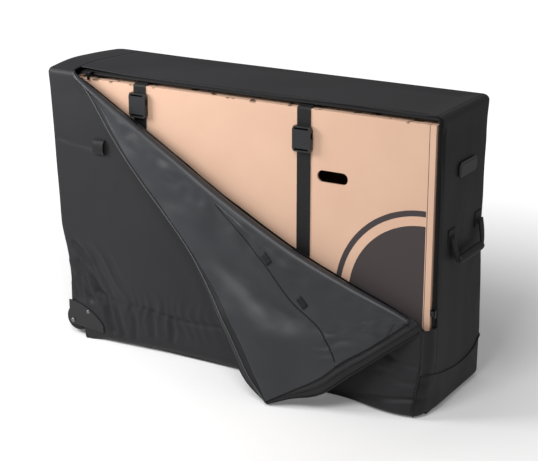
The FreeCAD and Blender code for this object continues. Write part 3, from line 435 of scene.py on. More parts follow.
def printed_disc(tree, where):
    """Is 1 on the carton's plain print, which stops short of the carton's crease."""
    x = add_node(tree, SPLIT, "X", {"Vector": where})
    z = add_node(tree, SPLIT, "Z", {"Vector": where})
    flat = add_node(tree, "ShaderNodeCombineXYZ", "Vector", {"X": x, "Z": z})
    away = add_node(tree, "ShaderNodeVectorMath", "Value", {0: flat, 1: PRINT_CENTRE}, operation="DISTANCE")
    disc = add_node(tree, MATH, 0, {0: away, 1: DISC_RADIUS}, operation="LESS_THAN")
    ring = add_node(tree, MATH, 0, {0: away, 1: RING_RADIUS, 2: RING_HALF_WIDTH}, operation="COMPARE")
    inked = add_node(tree, MATH, 0, {0: disc, 1: ring}, operation="ADD")
    short = add_node(tree, MATH, 0, {0: x, 1: PRINT_CENTRE[0]}, operation="LESS_THAN")
    return add_node(tree, MATH, 0, {0: inked, 1: short}, operation="MULTIPLY")


def worn_edge(tree, where):
    """Is 1 in the small dark splits along the carton's top edge."""
    split_size = 24 * MM
    height = add_node(tree, SPLIT, "Z", {"Vector": where})
    near_top = add_node(tree, MAP_RANGE, "Result", {
        "Value": height, "From Min": CARTON_TOP - WORN_DEPTH, "From Max": CARTON_TOP})
    scuffs = add_node(tree, NOISE, "Fac", {"Vector": where, "Scale": 1 / split_size, "Detail": 1.0})
    splits = add_node(tree, MAP_RANGE, "Result", {
        "Value": scuffs, "From Min": WORN_FROM, "From Max": WORN_TO})
    return add_node(tree, MATH, 0, {0: near_top, 1: splits}, operation="MULTIPLY")


def crease_shade_line(tree, where):
    """Is 1 on the thin line of painted shade where the carton's board is creased by its end."""
    x = add_node(tree, SPLIT, "X", {"Vector": where})
    return add_node(tree, MATH, 0, {0: x, 1: CREASE_SHADE_X, 2: CREASE_SHADE_HALF}, operation="COMPARE")


def kraft_board(name, dark, light, ink):
    """Corrugated board with a kraft liner: matt pale brown, scuffed, with wear at its edge, plainly printed,
    and with a thin line of painted shade in the crease by its end.
    """
    tone_size = 120 * MM
    dent_size = 14 * MM
    tree, shader, where = start_material(name, light)
    tone = add_node(tree, NOISE, "Fac", {"Vector": where, "Scale": 1 / tone_size, "Detail": 5.0})
    dents = add_node(tree, NOISE, "Fac", {"Vector": where, "Scale": 1 / dent_size, "Detail": 4.0})
    colour = add_node(tree, MIX, "Color", {"Fac": tone, "Color1": dark, "Color2": light})
    wear_and_crease_shade = linear(WEAR_AND_CREASE_SHADE_COLOUR)
    # Over the tone go the print, the splits of wear and the painted shade line in the crease
    for pattern, ink_wear_and_shade in ((printed_disc, ink), (worn_edge, wear_and_crease_shade), (crease_shade_line, wear_and_crease_shade)):
        mask = pattern(tree, where)
        colour = add_node(tree, MIX, "Color", {"Fac": mask, "Color1": colour, "Color2": ink_wear_and_shade})
    set_inputs(tree, shader, {
        "Base Color": colour,
        "Roughness": 0.78,
        "Specular IOR Level": 0.2,
        "Normal": add_node(tree, BUMP, "Normal", {"Height": dents, "Strength": 0.15, "Distance": 1.0 * MM}),
    })


def moulded_plastic(name, colour, roughness):
    """Moulded nylon, acetal or polypropylene: an even face with a fine eroded grain."""
    grain_size = 0.9 * MM
    tree, shader, where = start_material(name, colour)
    grain = add_node(tree, NOISE, "Fac", {"Vector": where, "Scale": 1 / grain_size, "Detail": 1.0})
    set_inputs(tree, shader, {
        "Roughness": roughness,
        "Normal": add_node(tree, BUMP, "Normal", {"Height": grain, "Strength": 0.2, "Distance": 0.1 * MM}),
    })


def rubber(name, colour, roughness):
    """Solid rubber: a dull, slightly mottled face."""
    mottle_size = 3 * MM
    tree, shader, where = start_material(name, colour)
    mottle = add_node(tree, NOISE, "Fac", {"Vector": where, "Scale": 1 / mottle_size, "Detail": 3.0})
    set_inputs(tree, shader, {
        "Roughness": roughness,
        "Normal": add_node(tree, BUMP, "Normal", {"Height": mottle, "Strength": 0.2, "Distance": 0.2 * MM}),
    })


def bright_metal(name, colour, roughness):
    """Plated steel or die-cast zinc: a metal shine broken by faint polishing marks."""
    mark_size = 2 * MM
    tree, shader, where = start_material(name, colour)
    marks = add_node(tree, NOISE, "Fac", {"Vector": where, "Scale": 1 / mark_size, "Detail": 4.0})
    set_inputs(tree, shader, {
        "Metallic": 1.0,
        "Roughness": add_node(tree, MAP_RANGE, "Result", {
            "Value": marks, "To Min": roughness * 0.8, "To Max": roughness * 1.2}),
    })


# Finishes by slot, named for what they are made of
FINISHES = {
    "bag_fabric": "black_coated_polyester",
    "boot_fabric": "black_heavy_polyester",
    "lining": "grey_coated_lining",
    "webbing": "black_polyester_webbing",
    "zip_tape": "black_zip_tape",
    "zip_metal": "black_die_cast_zinc",
    "carton": "kraft_corrugated_board",
    "board": "black_corrugated_plastic",
    "buckle": "black_acetal",
    "corner_plastic": "black_polypropylene",
    "hub_plastic": "black_nylon",
    "tyre": "black_rubber_tyre",
    "fastener_steel": "zinc_plated_steel",
    "grip": "black_rubber_grip",
    "badge": "black_soft_rubber",
    "zip_teeth": "grey_nylon_coil",
}
# Plain finishes, as colour and roughness by slot
PLASTICS = {
    "board": ("#1c1c1e", 0.6),
    "zip_teeth": ("#4c4d50", 0.4),
    "buckle": ("#202123", 0.38),
    "corner_plastic": ("#161618", 0.5),
    "hub_plastic": ("#202022", 0.45),
}
RUBBERS = {
    "tyre": ("#19191a", 0.7),
    "grip": ("#1e1e20", 0.6),
    "badge": ("#3a3a3d", 0.5),
}
METALS = {
    "fastener_steel": ("#77787b", 0.45),
    "zip_metal": ("#3a3a3d", 0.35),
}


def finish(slot):
    """The finished material of a slot."""
    return bpy.data.materials[FINISHES[slot]]


def make_materials():
    """Every finish on the case."""
    chosen = settings()
    sheen_tint = linear("#8a8a90")
    woven_cloth(FINISHES["bag_fabric"], chosen.cloth_shade, chosen.cloth_colour, 0.55, 0.06, sheen_tint)
    woven_cloth(FINISHES["boot_fabric"], linear("#1c1c1e"), linear("#202022"), 0.5, 0.05, sheen_tint)
    woven_cloth(FINISHES["zip_tape"], linear("#151516"), linear("#1b1b1d"), 0.7, 0.1, linear("#808080"))
    coated_lining(FINISHES["lining"], chosen.lining_shade, chosen.lining_colour)
    ribbed_webbing(FINISHES["webbing"], chosen.webbing_colour)
    kraft_board(FINISHES["carton"], chosen.carton_shade, chosen.carton_colour, chosen.print_colour)
    for make, looks in ((moulded_plastic, PLASTICS), (rubber, RUBBERS), (bright_metal, METALS)):
        for slot, (colour, roughness) in looks.items():
            make(FINISHES[slot], linear(colour), roughness)


# The bag's skin: one surface round the plan, rolled in at the floor and at the top
PLAN_SIGNS = ((-1, -1), (1, -1), (1, 1), (-1, 1))
# Share of the corner radius at each upright corner, from the front left and anticlockwise
CORNER_SHARES = (0.35, 0.8, 0.65, 0.8)


def corner_radius(corner):
    """Radius of one upright corner."""
    return settings().corner_radius * CORNER_SHARES[corner % 4]


def corner_centre(corner):
    """Centre of one upright rounding in plan."""
    across, depth = PLAN_SIGNS[corner % 4]
    radius = corner_radius(corner)
    return Vector((across * (HALF_LENGTH - radius), depth * (HALF_WIDTH - radius), 0))


def side_length(side):
    """Length of one straight side in plan: 0 front, 1 right end, 2 back, 3 left end."""
    whole = 2 * HALF_WIDTH if side % 2 else 2 * HALF_LENGTH
    return whole - corner_radius(side) - corner_radius(side + 1)


def corner_arc(corner):
    """Length of one rounded upright corner in plan."""
    return math.pi / 2 * corner_radius(corner)


def side_start(side):
    """Distance round the plan at which a straight side starts."""
    return sum(side_length(index) + corner_arc(index + 1) for index in range(side))


def side_end(side):
    """Distance round the plan at the middle of the corner that ends a side."""
    return side_start(side) + side_length(side) + corner_arc(side + 1) / 2


SHARPEST = 1 * MM


def drawn_in(corner, outward, inset):
    """A point of one upright corner where the whole plan is drawn in by an inset."""
    across, depth = PLAN_SIGNS[corner % 4]
    radius = max(corner_radius(corner) - inset, SHARPEST)
    spare = inset + radius - corner_radius(corner)
    return corner_centre(corner) - Vector((across, depth, 0)) * spare + outward * radius


def plan_point(distance, inset=0.0):
    """Place and outward direction at a distance round the plan, from the left of the straight front."""
    rest = distance % side_start(4)
    for side in range(4):
        turn = math.radians(90 * side)
        along = Vector((math.cos(turn), math.sin(turn), 0))
        outward = Vector((along.y, -along.x, 0))
        if rest <= side_length(side):
            share = rest / side_length(side)
            return drawn_in(side, outward, inset).lerp(drawn_in(side + 1, outward, inset), share), outward
        rest -= side_length(side)
        if rest <= corner_arc(side + 1):
            bend = rest / corner_radius(side + 1)
            outward = outward * math.cos(bend) + along * math.sin(bend)
            return drawn_in(side + 1, outward, inset), outward
        rest -= corner_arc(side + 1)
    return drawn_in(0, Vector((0, -1, 0)), inset), Vector((0, -1, 0))


def edge_inset(height):
    """How far the skin has rolled in near the floor and near the top."""
    base, top = settings().base_radius, settings().top_radius
    if height < base:
        return base - math.sqrt(max(0.0, base ** 2 - (base - height) ** 2))
    rise = height - (HEIGHT - top)
    if rise > 0:
        return top - math.sqrt(max(0.0, top ** 2 - rise ** 2))
    return 0.0


# How the filled bag leans and sags, as depths and the ranges of X, Y and Z that they fade over.
# The left end leans in towards the wheels, is drawn in above them and stands out higher up
LEAN_X = (LEFT, LEFT + 170 * MM)
NECK_DEPTH = 11 * MM
NECK_Z = (20 * MM, 380 * MM)
SHOULDER = 11 * MM
SHOULDER_Z = (190 * MM, 350 * MM)
# The right end is drawn in at the back and at its front heel
BACK_DRAW = 5 * MM
BACK_DRAW_X = (RIGHT - 90 * MM, RIGHT)
BACK_DRAW_Y = (-60 * MM, BACK)
BACK_DRAW_Z = (120 * MM, 720 * MM)
HEEL_DRAW = 14 * MM
HEEL_X = (RIGHT - 120 * MM, RIGHT)
HEEL_Y = (FRONT, FRONT + 90 * MM)
HEEL_Z = (0, 150 * MM)
# The front bellies out at its lower right corner, and its foot is tucked in and lifted
FRONT_Y = (FRONT, FRONT + 110 * MM)
BELLY = 26 * MM
BELLY_X = (330 * MM, 690 * MM)
BELLY_Z = (-160 * MM, 190 * MM)
FOOT_TUCK = 16 * MM
FOOT_TUCK_X = (-500 * MM, 330 * MM)
FOOT_TUCK_Z = (0, 90 * MM)
FOOT_LIFT = 6 * MM
FOOT_LIFT_X = (-520 * MM, 60 * MM)
FOOT_LIFT_Y = (FRONT, FRONT + 45 * MM)
FOOT_LIFT_Z = (0, 110 * MM)
# The front's foot stands upright beside the wheel well, and rolls in again past it
UPRIGHT_FOOT_X = (WELL_HIGH.x, WELL_HIGH.x + 70 * MM)
# How far the top stands up at its left end, as (Y, rise) in millimetres
CROWN = ((-175, 4), (-77, 14), (14, 12), (100, 7), (175, 1))
CROWN_X = (LEFT, LEFT + 280 * MM)
CROWN_Z = (600 * MM, HEIGHT)


def settled(point):
    """Moves a point of the plain skin to where the filled bag lets it hang."""
    x, y, z = point
    lean = LEFT_LEAN * (1 - z / HEIGHT) + NECK_DEPTH * hump(z, *NECK_Z) - SHOULDER * ease(z, *SHOULDER_Z)
    back_draw = BACK_DRAW * ease(x, *BACK_DRAW_X) * ease(y, *BACK_DRAW_Y) * hump(z, *BACK_DRAW_Z)
    heel_draw = HEEL_DRAW * ease(x, *HEEL_X) * fade(y, *HEEL_Y) * fade(z, *HEEL_Z)
    tuck = FOOT_TUCK * hump(x, *FOOT_TUCK_X) * fade(z, *FOOT_TUCK_Z)
    belly = BELLY * hump(x, *BELLY_X) * hump(z, *BELLY_Z)
    upright = edge_inset(z) * fade(x, *UPRIGHT_FOOT_X) if z < settings().base_radius else 0.0
    lift = FOOT_LIFT * hump(x, *FOOT_LIFT_X) * fade(y, *FOOT_LIFT_Y) * fade(z, *FOOT_LIFT_Z)
    crown = smooth_at(CROWN, y / MM) * MM * fade(x, *CROWN_X) * ease(z, *CROWN_Z)
    shift_x = lean * fade(x, *LEAN_X) - back_draw - heel_draw
    shift_y = (tuck - belly - upright) * fade(y, *FRONT_Y)
    return point + Vector((shift_x, shift_y, lift + crown))


# Waves of the cloth: sizes of the broad waves and the small creases, how they are drawn out in height,
# and the share of their depth by which the broad waves lie inwards
BILLOW_SIZE = 260 * MM
BILLOW_SINK = 0.3
WRINKLE_SIZE = 90 * MM
WAVE_STRETCH = 0.55
# Heights over which the cloth comes free of its sewn edges at the floor and at the top
SEWN_FOOT = (2 * MM, 35 * MM)
SEWN_TOP = (HEIGHT - 70 * MM, HEIGHT - 5 * MM)
# Where the cloth gathers round the wheel corner. The gathers run down to the right and carry finer folds
GATHER_X = (-640 * MM, -330 * MM)
GATHER_Z = (20 * MM, 330 * MM)
GATHER_SPACING = 46 * MM
ACROSS_GATHERS = Vector((0.78, 0, 0.62))
GATHER_WANDER = 0.35
GATHER_WANDER_SIZE = 70 * MM
FINE_FOLD_SHARE = 0.5
FINE_FOLD_PACE = 2.3
FINE_FOLD_START = 0.3
# Where the cloth puckers along the base
PUCKER_X = (-470 * MM, 40 * MM)
PUCKER_Z = (30 * MM, 210 * MM)
PUCKER_SPACING = 31 * MM
PUCKER_SHARE = 0.5
PUCKER_WANDER = 0.9
PUCKER_WANDER_SIZE = 80 * MM
# Upright folds of the right end, which lies flat behind its badge and handle
END_FOLD_X = (RIGHT - 30 * MM, RIGHT - 5 * MM)
END_FOLD_SIZE = 90 * MM
END_FOLD_STRETCH = 0.12
END_FOLD_SHARE = 0.6
END_FOLD_SINK = 0.4
END_FLAT_FROM = (400 * MM, 440 * MM)
END_FLAT_TO = (670 * MM, 710 * MM)
# Creases and seams of the front, as depth and width in millimetres and a line of (X, Z) spots
FRONT_CREASES = (
    (5, 8, ((-470, 152), (-387, 134), (-315, 137), (-245, 128), (-187, 120), (-112, 120), (-29, 126))),
    (8, 9, ((-556, 185), (-524, 140), (-496, 118))),
    (10, 10, ((-552, 235), (-500, 192), (-464, 158), (-433, 124), (-407, 40))),
    (7, 9, ((-556, 290), (-490, 235), (-440, 190), (-395, 120), (-372, 30))),
    (5, 8, ((-340, 128), (-328, 80), (-332, 30))),
    (5, 8, ((-270, 126), (-262, 90), (-268, 50))),
    (5, 8, ((-205, 118), (-196, 85), (-204, 45))),
    (3, 7, ((-582, 604), (-520, 594), (-452, 588))),
    (6, 7, ((330, 2), (417, 30), (480, 40), (548, 52), (590, 54))),
    (4, 10, ((430, 190), (500, 150), (580, 140))),
    (4, 10, ((470, 110), (530, 96), (590, 100))),
)
FRONT_CREASE_REACH = 40 * MM


def front_crease(point):
    """How far the cloth is drawn in along the creases and seams of the front."""
    spot = Vector((point.x, point.z)) / MM
    return sum(depth * nearness(spot, line, width) for depth, width, line in FRONT_CREASES) * MM


def ridge(value):
    """A sharp crest once in each whole step of value, with a broad hollow between."""
    return 1 - 2 * abs(math.sin(math.pi * value)) ** 0.7


def under_guard(point):
    """Is 1 where a corner guard lies on the cloth, and fades to 0 round it."""
    left = ease(point.x, GUARD_LOW.x - GUARD_RIM, GUARD_LOW.x)
    right = fade(point.x, GUARD_HIGH.x, GUARD_HIGH.x + GUARD_RIM)
    return left * right * fade(point.z, GUARD_HIGH.z - GUARD_RIM / 2, GUARD_HIGH.z + GUARD_RIM)


def gathers(point):
    """Folds drawn together round the wheel corner, and puckers along the base."""
    phase = point.dot(ACROSS_GATHERS) / GATHER_SPACING + GATHER_WANDER * cloudy(point, GATHER_WANDER_SIZE)
    folds = ridge(phase) + FINE_FOLD_SHARE * ridge(FINE_FOLD_PACE * phase + FINE_FOLD_START)
    folds *= hump(point.x, *GATHER_X) * hump(point.z, *GATHER_Z)
    tucks = ridge(point.x / PUCKER_SPACING + PUCKER_WANDER * cloudy(point, PUCKER_WANDER_SIZE, offset=6.0))
    tucks *= hump(point.x, *PUCKER_X) * hump(point.z, *PUCKER_Z)
    return settings().gathers * (folds + PUCKER_SHARE * tucks)


def end_folds(point):
    """Upright folds of the right end."""
    upright = Vector((point.x, point.y, point.z * END_FOLD_STRETCH))
    flat = ease(point.z, *END_FLAT_FROM) * fade(point.z, *END_FLAT_TO)
    depth = END_FOLD_SHARE * settings().billow * ease(point.x, *END_FOLD_X) * (1 - flat)
    return depth * (cloudy(upright, END_FOLD_SIZE, offset=8.0) - END_FOLD_SINK)


def cloth_wave(point):
    """How far the cloth stands off its plain shape: broad waves, small creases, gathers and folds."""
    stretched = Vector((point.x, point.y, point.z * WAVE_STRETCH))
    wave = settings().billow * (cloudy(stretched, BILLOW_SIZE) - BILLOW_SINK)
    wave += settings().wrinkle * (1 - 2 * abs(cloudy(stretched, WRINKLE_SIZE, offset=3.0)))
    wave += gathers(point) + end_folds(point)
    if point.y < FRONT + FRONT_CREASE_REACH:
        wave -= front_crease(point)
    return wave * ease(point.z, *SEWN_FOOT) * fade(point.z, *SEWN_TOP) * (1 - under_guard(point))


def wall_point(distance, height):
    """A point on the bag's upright skin."""
    point, outward = plan_point(distance, edge_inset(height))
    point.z = height
    return settled(point + outward * cloth_wave(point))


# Turns at which the skin's roll at the floor and at the top has points
ROLL_TURNS = [math.radians(angle) for angle in range(0, 90, 15)]


def column_heights(low, high, count):
    """Heights of one column of the skin, closer where it rolls in at the floor and at the top."""
    base, top = settings().base_radius, settings().top_radius
    foot = max(base, low)
    brow = min(high, HEIGHT - top)
    shoulder = max(0.0, high - (HEIGHT - top))
    heights = [mix(low, foot, 1 - math.cos(turn)) for turn in ROLL_TURNS]
    heights += [mix(foot, brow, index / count) for index in range(count + 1)]
    heights += [brow + shoulder * math.cos(turn) for turn in reversed(ROLL_TURNS)]
    return heights


def to_floor(distance):
    """A wall's lower edge where it stands on the floor."""
    return 0.0


def to_top(distance):
    """A wall's upper edge where it reaches the top of the bag."""
    return HEIGHT


def beside_wheel(distance):
    """Lower edge of a long side, which stops behind the corner guard."""
    x = settled(plan_point(distance)[0]).x
    if x < GUARD_LOW.x + GUARD_LAP:
        return GUARD_HIGH.z - GUARD_LAP
    if x < WELL_HIGH.x - 2 * GUARD_LAP:
        return GUARD_LOW.z + GUARD_LAP
    return 0.0


def above_wells(distance):
    """Lower edge of the left end, which rises over the wheel wells."""
    return WELL_HIGH.z if abs(plan_point(distance)[0].y) > WELL_LOW.y else 0.0


# Upper edge of the boot, as (Y, height) in millimetres, and the share of the front corner left to the front
BOOT_TOP = ((-175, 124), (-162, 121), (-72, 98), (40, 86), (118, 100), (150, 120), (175, 124))
BOOT_WRAP = 0.2


def boot_edge(distance):
    """Upper edge of the boot, which sags between the corners."""
    return smooth_at(BOOT_TOP, plan_point(distance)[0].y / MM) * MM


def wall(name, ends, low, high, slot, nodes):
    """A stretch of the bag's upright skin between two distances, and between a lower and an upper edge."""
    columns = steps(*ends, settings().cell)
    lows = [low(distance) for distance in columns]
    highs = [high(distance) for distance in columns]
    count = math.ceil((max(highs) - min(lows)) / settings().cell)
    stacks = [
        [wall_point(distance, height) for height in column_heights(foot, crest, count)]
        for distance, foot, crest in zip(columns, lows, highs)]
    rows = [list(row) for row in zip(*stacks)]
    obj = skin(name, rows, settings().cloth_thickness, finish(slot), finish("lining"))
    return place(obj, nodes)


# Cord in the boot's seam
PIPING_RADIUS = 2.5 * MM
PIPING_LIFT = 1 * MM
PIPING_START = 4 * MM


def boot_piping(start, end):
    """The cord in the seam round the boot, up its front edge and along its top."""
    spots = [(start, height) for height in steps(PIPING_START, boot_edge(start), settings().cell)]
    spots += [(distance, boot_edge(distance)) for distance in steps(start, end, settings().cell)]
    points = [wall_point(*spot) + plan_point(spot[0])[1] * PIPING_LIFT for spot in spots]
    place(bead("boot_piping_cord", points, PIPING_RADIUS, "boot_fabric"), ["boot_piping"])


# Fold of the front panel
FOLD_JOINT = joint_named("flap_fold")
FOLD_ORIGIN = Vector(FOLD_JOINT["pos_m"])
ALONG_FOLD = -Vector(FOLD_JOINT["axis"])
DOWN_WALL = Vector((ALONG_FOLD.z, 0, -ALONG_FOLD.x))
OUT = Vector((0, -1, 0))
FLAP_BOX = [Vector(corner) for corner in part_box("flap_gusset_side")]
FOLD_LENGTH = (FLAP_BOX[1].x - FOLD_ORIGIN.x) / ALONG_FOLD.x
# How far the fold hangs below the straight line between its ends, as (share of its length, millimetres)
FOLD_SAG = ((0, 0), (0.18, 11), (0.34, 22), (0.47, 33), (0.66, 36), (0.81, 21), (0.93, 3), (1, 0))
# Rounds of correction that find the place on the sagging fold above a given X
FOLD_ROUNDS = 6


def fold_sag(along):
    """How far the fold hangs below the straight line between its ends."""
    return smooth_at(FOLD_SAG, along / FOLD_LENGTH) * MM


def fold_height(x):
    """Height of the fold above the floor at a place along the front."""
    if x <= FOLD_ORIGIN.x:
        return HEIGHT
    along = (x - FOLD_ORIGIN.x) / ALONG_FOLD.x
    for _ in range(FOLD_ROUNDS):
        point = FOLD_ORIGIN + ALONG_FOLD * along + DOWN_WALL * fold_sag(along)
        along += (x - point.x) / ALONG_FOLD.x
    return (FOLD_ORIGIN + ALONG_FOLD * along + DOWN_WALL * fold_sag(along)).z


def fold_crest(distance):
    """Upper edge of the front, which follows the fold from the top down to the right."""
    return min(HEIGHT, fold_height(plan_point(distance)[0].x))


def zipped_crest(distance):
    """Upper edge of the short front piece at the right end, where the fold stops."""
    return fold_height(RIGHT)


def into_corner(point, low, high, rolled):
    """Moves a point of a rectangle so that the rectangle's corners come out round."""
    corner = PLAN_SIGNS.index((1 if point.x > 0 else -1, 1 if point.y > 0 else -1))
    radius = max(corner_radius(corner) - rolled, SHARPEST)
    centre = Vector((min(max(point.x, low.x + radius), high.x - radius),
                     min(max(point.y, low.y + radius), high.y - radius), 0))
    across, upward = (point.x - centre.x) / radius, (point.y - centre.y) / radius
    return Vector((centre.x + radius * across * math.sqrt(1 - upward ** 2 / 2),
                   centre.y + radius * upward * math.sqrt(1 - across ** 2 / 2), point.z))


# How high the base's cloth lies above the floor
BASE_LIFT = 0.5 * MM
# Waves of the top, and how far in from its edges they come free
TOP_WAVE_SHARE = 0.8
TOP_WAVE_SINK = 0.4
TOP_WAVE_SIZE = 220 * MM
TOP_WAVE_RIM = 60 * MM


def cap(name, x_range, y_range, height, slot, nodes, upward):
    """A flat stretch of the bag's top or base, with the roundings of the skin's own edge."""
    rolled = settings().top_radius if upward else settings().base_radius
    low = Vector((LEFT + rolled, FRONT + rolled, 0))
    high = Vector((RIGHT - rolled, BACK - rolled, 0))
    columns = steps(max(x_range[0], low.x), min(x_range[1], high.x), settings().cell)
    lines = steps(max(y_range[0], low.y), min(y_range[1], high.y), settings().cell)
    rows = []
    for y in lines:
        row = []
        for x in columns:
            point = into_corner(Vector((x, y, height)), low, high, rolled)
            if upward:
                inside = min(x - low.x, high.x - x, high.y - y)
                depth = TOP_WAVE_SHARE * settings().billow * ease(inside, 0, TOP_WAVE_RIM)
                point.z += depth * (cloudy(point, TOP_WAVE_SIZE, offset=5.0) - TOP_WAVE_SINK)
            row.append(settled(point))
        rows.append(row if upward else list(reversed(row)))
    obj = skin(name, rows, settings().cloth_thickness, finish(slot), finish("lining"))
    return place(obj, nodes)


# Flap: the loose part of the front panel, rolled over the fold and hung down in front.
# Spots on it are (along the fold, down from the fold) in millimetres
FLAP_TILT = math.radians(19.026)
FLAP_HALF_THICK = 3 * MM
FLAP_ROWS = 60
DOWN_FLAP = DOWN_WALL * math.cos(FLAP_TILT) + OUT * math.sin(FLAP_TILT)
FLAP_OUT = OUT * math.cos(FLAP_TILT) - DOWN_WALL * math.sin(FLAP_TILT)
ROLL_RADIUS = 15 * MM
ROLL_END_RADIUS = 3 * MM
ROLL_STEPS = 12
ROLL_TUCK = 30 * MM
ROLL_TURN = math.pi - FLAP_TILT
ROLL_SETTLE = 140 * MM
OUTER_TOP = ((0, 0), (117, 55), (349, 141), (576, 212), (784, 330), (906, 400), (991, 416))
OUTER_SIDE = ((991, 416), (1034, 367), (1099, 303), (1133, 223), (1186, 103), (1231, 2))
LINING_TOP = ((12, -2), (88, 13), (204, 70), (303, 112), (457, 162), (671, 237), (836, 317), (988, 410))
LINING_SIDE = ((988, 410), (1035, 334), (1079, 259), (1098, 203), (1142, 117), (1195, -10))
# Loose waves of the hanging cloth, as height in millimetres, size and offset of the noise
FLAP_WAVES = ((5, 230 * MM, 9.0), (2.5, 75 * MM, 2.0))
FLAP_WAVE_STRETCH = 1.8
# Shares of the way down, and reaches of the cloth, over which the waves come free
FREE_SHARE = (0.05, 0.5)
FREE_REACH = (20 * MM, 160 * MM)
LEAST_REACH = 1 * MM
# The cloth's bulge and its valley, as height and width in millimetres and a line of spots
FLAP_FORMS = (
    (10, 90, ((790, 280), (870, 300))),
    (-9, 46, ((610, 117), (729, 178), (822, 187), (914, 180))),
)
# Crumpled stretch by the side edge, with its height, width and spacing in millimetres
CRUMPLE = ((1050, 150), (1180, 45))
CRUMPLE_HEIGHT = 2.5
CRUMPLE_WIDTH = 55
CRUMPLE_SPACING = 34
CRUMPLE_WANDER = 0.8
CRUMPLE_WANDER_SIZE = 60 * MM
ACROSS_CRUMPLES = Vector((0.6, 0.8))
# Small dents where the lining comes off the roll: depth in millimetres, how far they lie inwards on the
# whole, size, and the ranges that they fade over
DENT_DEPTH = 4
DENT_SINK = 1
DENT_SIZE = 38 * MM
DENT_FROM = (0, 14 * MM)
DENT_TO = (25 * MM, 75 * MM)
DENT_ALONG = (120 * MM, 260 * MM)
DENT_MARGIN = (5 * MM, 40 * MM)


def flap_place(along, down, lift):
    """A point in the flap's own plane, lifted off it towards the viewer."""
    return FOLD_ORIGIN + ALONG_FOLD * along + DOWN_FLAP * down + FLAP_OUT * lift


def lining_edge(along):
    """How far the lining reaches below the fold line at a place along it."""
    place_on = along / MM
    return smooth_at(LINING_TOP if place_on < LINING_TOP[-1][0] else LINING_SIDE, place_on) * MM


def roll_crumple(along, down):
    """Small dents where the lining comes off the roll, in millimetres."""
    below = down - flap_start(along)[0]
    near_roll = ease(below, *DENT_FROM) * fade(below, *DENT_TO)
    inside = ease(along, *DENT_ALONG) * ease(lining_edge(along) - down, *DENT_MARGIN)
    dents = DENT_DEPTH * cloudy(Vector((along, down, 0)), DENT_SIZE, offset=7.0)
    return near_roll * inside * (dents - DENT_SINK)


def flap_wave(along, down):
    """Soft waves and creases of the hanging cloth."""
    where = Vector((along, down * FLAP_WAVE_STRETCH, 0))
    spot = Vector((along, down)) / MM
    reach = max(LEAST_REACH, lining_edge(along))
    wave = sum(height * cloudy(where, size, offset) for height, size, offset in FLAP_WAVES)
    wave += sum(height * nearness(spot, line, width) for height, width, line in FLAP_FORMS)
    wander = CRUMPLE_WANDER * cloudy(where, CRUMPLE_WANDER_SIZE, offset=4.0)
    creases = ridge(spot.dot(ACROSS_CRUMPLES) / CRUMPLE_SPACING + wander)
    wave += CRUMPLE_HEIGHT * nearness(spot, CRUMPLE, CRUMPLE_WIDTH) * creases
    free = ease(down / reach, *FREE_SHARE) * ease(reach, *FREE_REACH)
    return (free * wave + roll_crumple(along, down)) * MM


def roll_radius(along):
    """Radius of the rolled cloth, which thins towards the ends of the fold."""
    share = min(1.0, max(0.0, along / FOLD_LENGTH))
    return mix(ROLL_END_RADIUS, ROLL_RADIUS, math.sqrt(4 * share * (1 - share)))


def roll_foot(along):
    """Where the roll over the fold starts, on the wall's face."""
    radius = roll_radius(along)
    wall_face = OUT * (FOLD_ORIGIN.y - FRONT)
    return FOLD_ORIGIN + ALONG_FOLD * along + wall_face + DOWN_WALL * (fold_sag(along) + radius)


def roll_point(along, turn):
    """A point of the roll over the fold at a turn round it."""
    radius = roll_radius(along)
    reach = radius + settings().cloth_thickness
    return roll_foot(along) + OUT * (radius - reach * math.cos(turn)) - DOWN_WALL * reach * math.sin(turn)


def flap_start(along):
    """How far down the flap's plane the roll ends, and how far it is lifted off it there."""
    offset = roll_point(along, ROLL_TURN) - FOLD_ORIGIN
    return offset.dot(DOWN_FLAP), offset.dot(FLAP_OUT)


def on_flap(along, down, lift=0.0):
    """A point on the waving face of the flap, lifted off it."""
    start, start_lift = flap_start(along)
    settle = min(ROLL_SETTLE, max(LEAST_REACH, lining_edge(along) - start))
    face = mix(start_lift, FLAP_HALF_THICK, ease(down, start, start + settle))
    return flap_place(along, down, face + flap_wave(along, down) + lift)


def flap_column(along):
    """Points of the cloth at one place along the fold, from inside the wall to the lining's edge."""
    behind = roll_foot(along) - OUT * settings().cloth_thickness
    points = [behind + DOWN_WALL * tuck for tuck in (ROLL_TUCK, ROLL_TUCK / 2)]
    points += [roll_point(along, ROLL_TURN * index / ROLL_STEPS) for index in range(ROLL_STEPS + 1)]
    start = flap_start(along)[0]
    end = max(lining_edge(along), start + LEAST_REACH)
    points += [on_flap(along, mix(start, end, index / FLAP_ROWS)) for index in range(1, FLAP_ROWS + 1)]
    return points


def hang(obj, nodes):
    """Puts a piece of the flap in place of CAD nodes, with its transform applied to its mesh."""
    if nodes:
        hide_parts(*nodes)
    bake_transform(obj)
    return obj


LINING_THICK = 2 * MM
# How far short of the side's end the cloth stops
CLOTH_SHORT = 5 * MM


def flap_cloth():
    """The lining side of the flap, with the roll over the fold."""
    places = steps(LINING_TOP[0][0] * MM, LINING_SIDE[-1][0] * MM - CLOTH_SHORT, settings().cell)
    columns = [flap_column(along) for along in places]
    rows = [list(row) for row in zip(*columns)]
    rows.reverse()
    obj = skin("flap_cloth", rows, LINING_THICK, finish("lining"), finish("bag_fabric"))
    return hang(obj, ["flap_panel"])


def spot_at(spots, share):
    """A place part of the way along a line of spots, in metres."""
    along = mix(spots[0][0], spots[-1][0], share)
    return Vector((along, smooth_at(spots, along))) * MM


# Section of the edge band, as (share of the way from the lining to the outer edge, lift in millimetres)
BAND_SECTION = (
    (0.0, -1.5), (0.1, -5.0), (0.25, -3.0), (0.45, -2.0), (0.65, -4.0), (0.85, -9.0), (1.0, -15.0))
BAND_THICK = 1.5 * MM
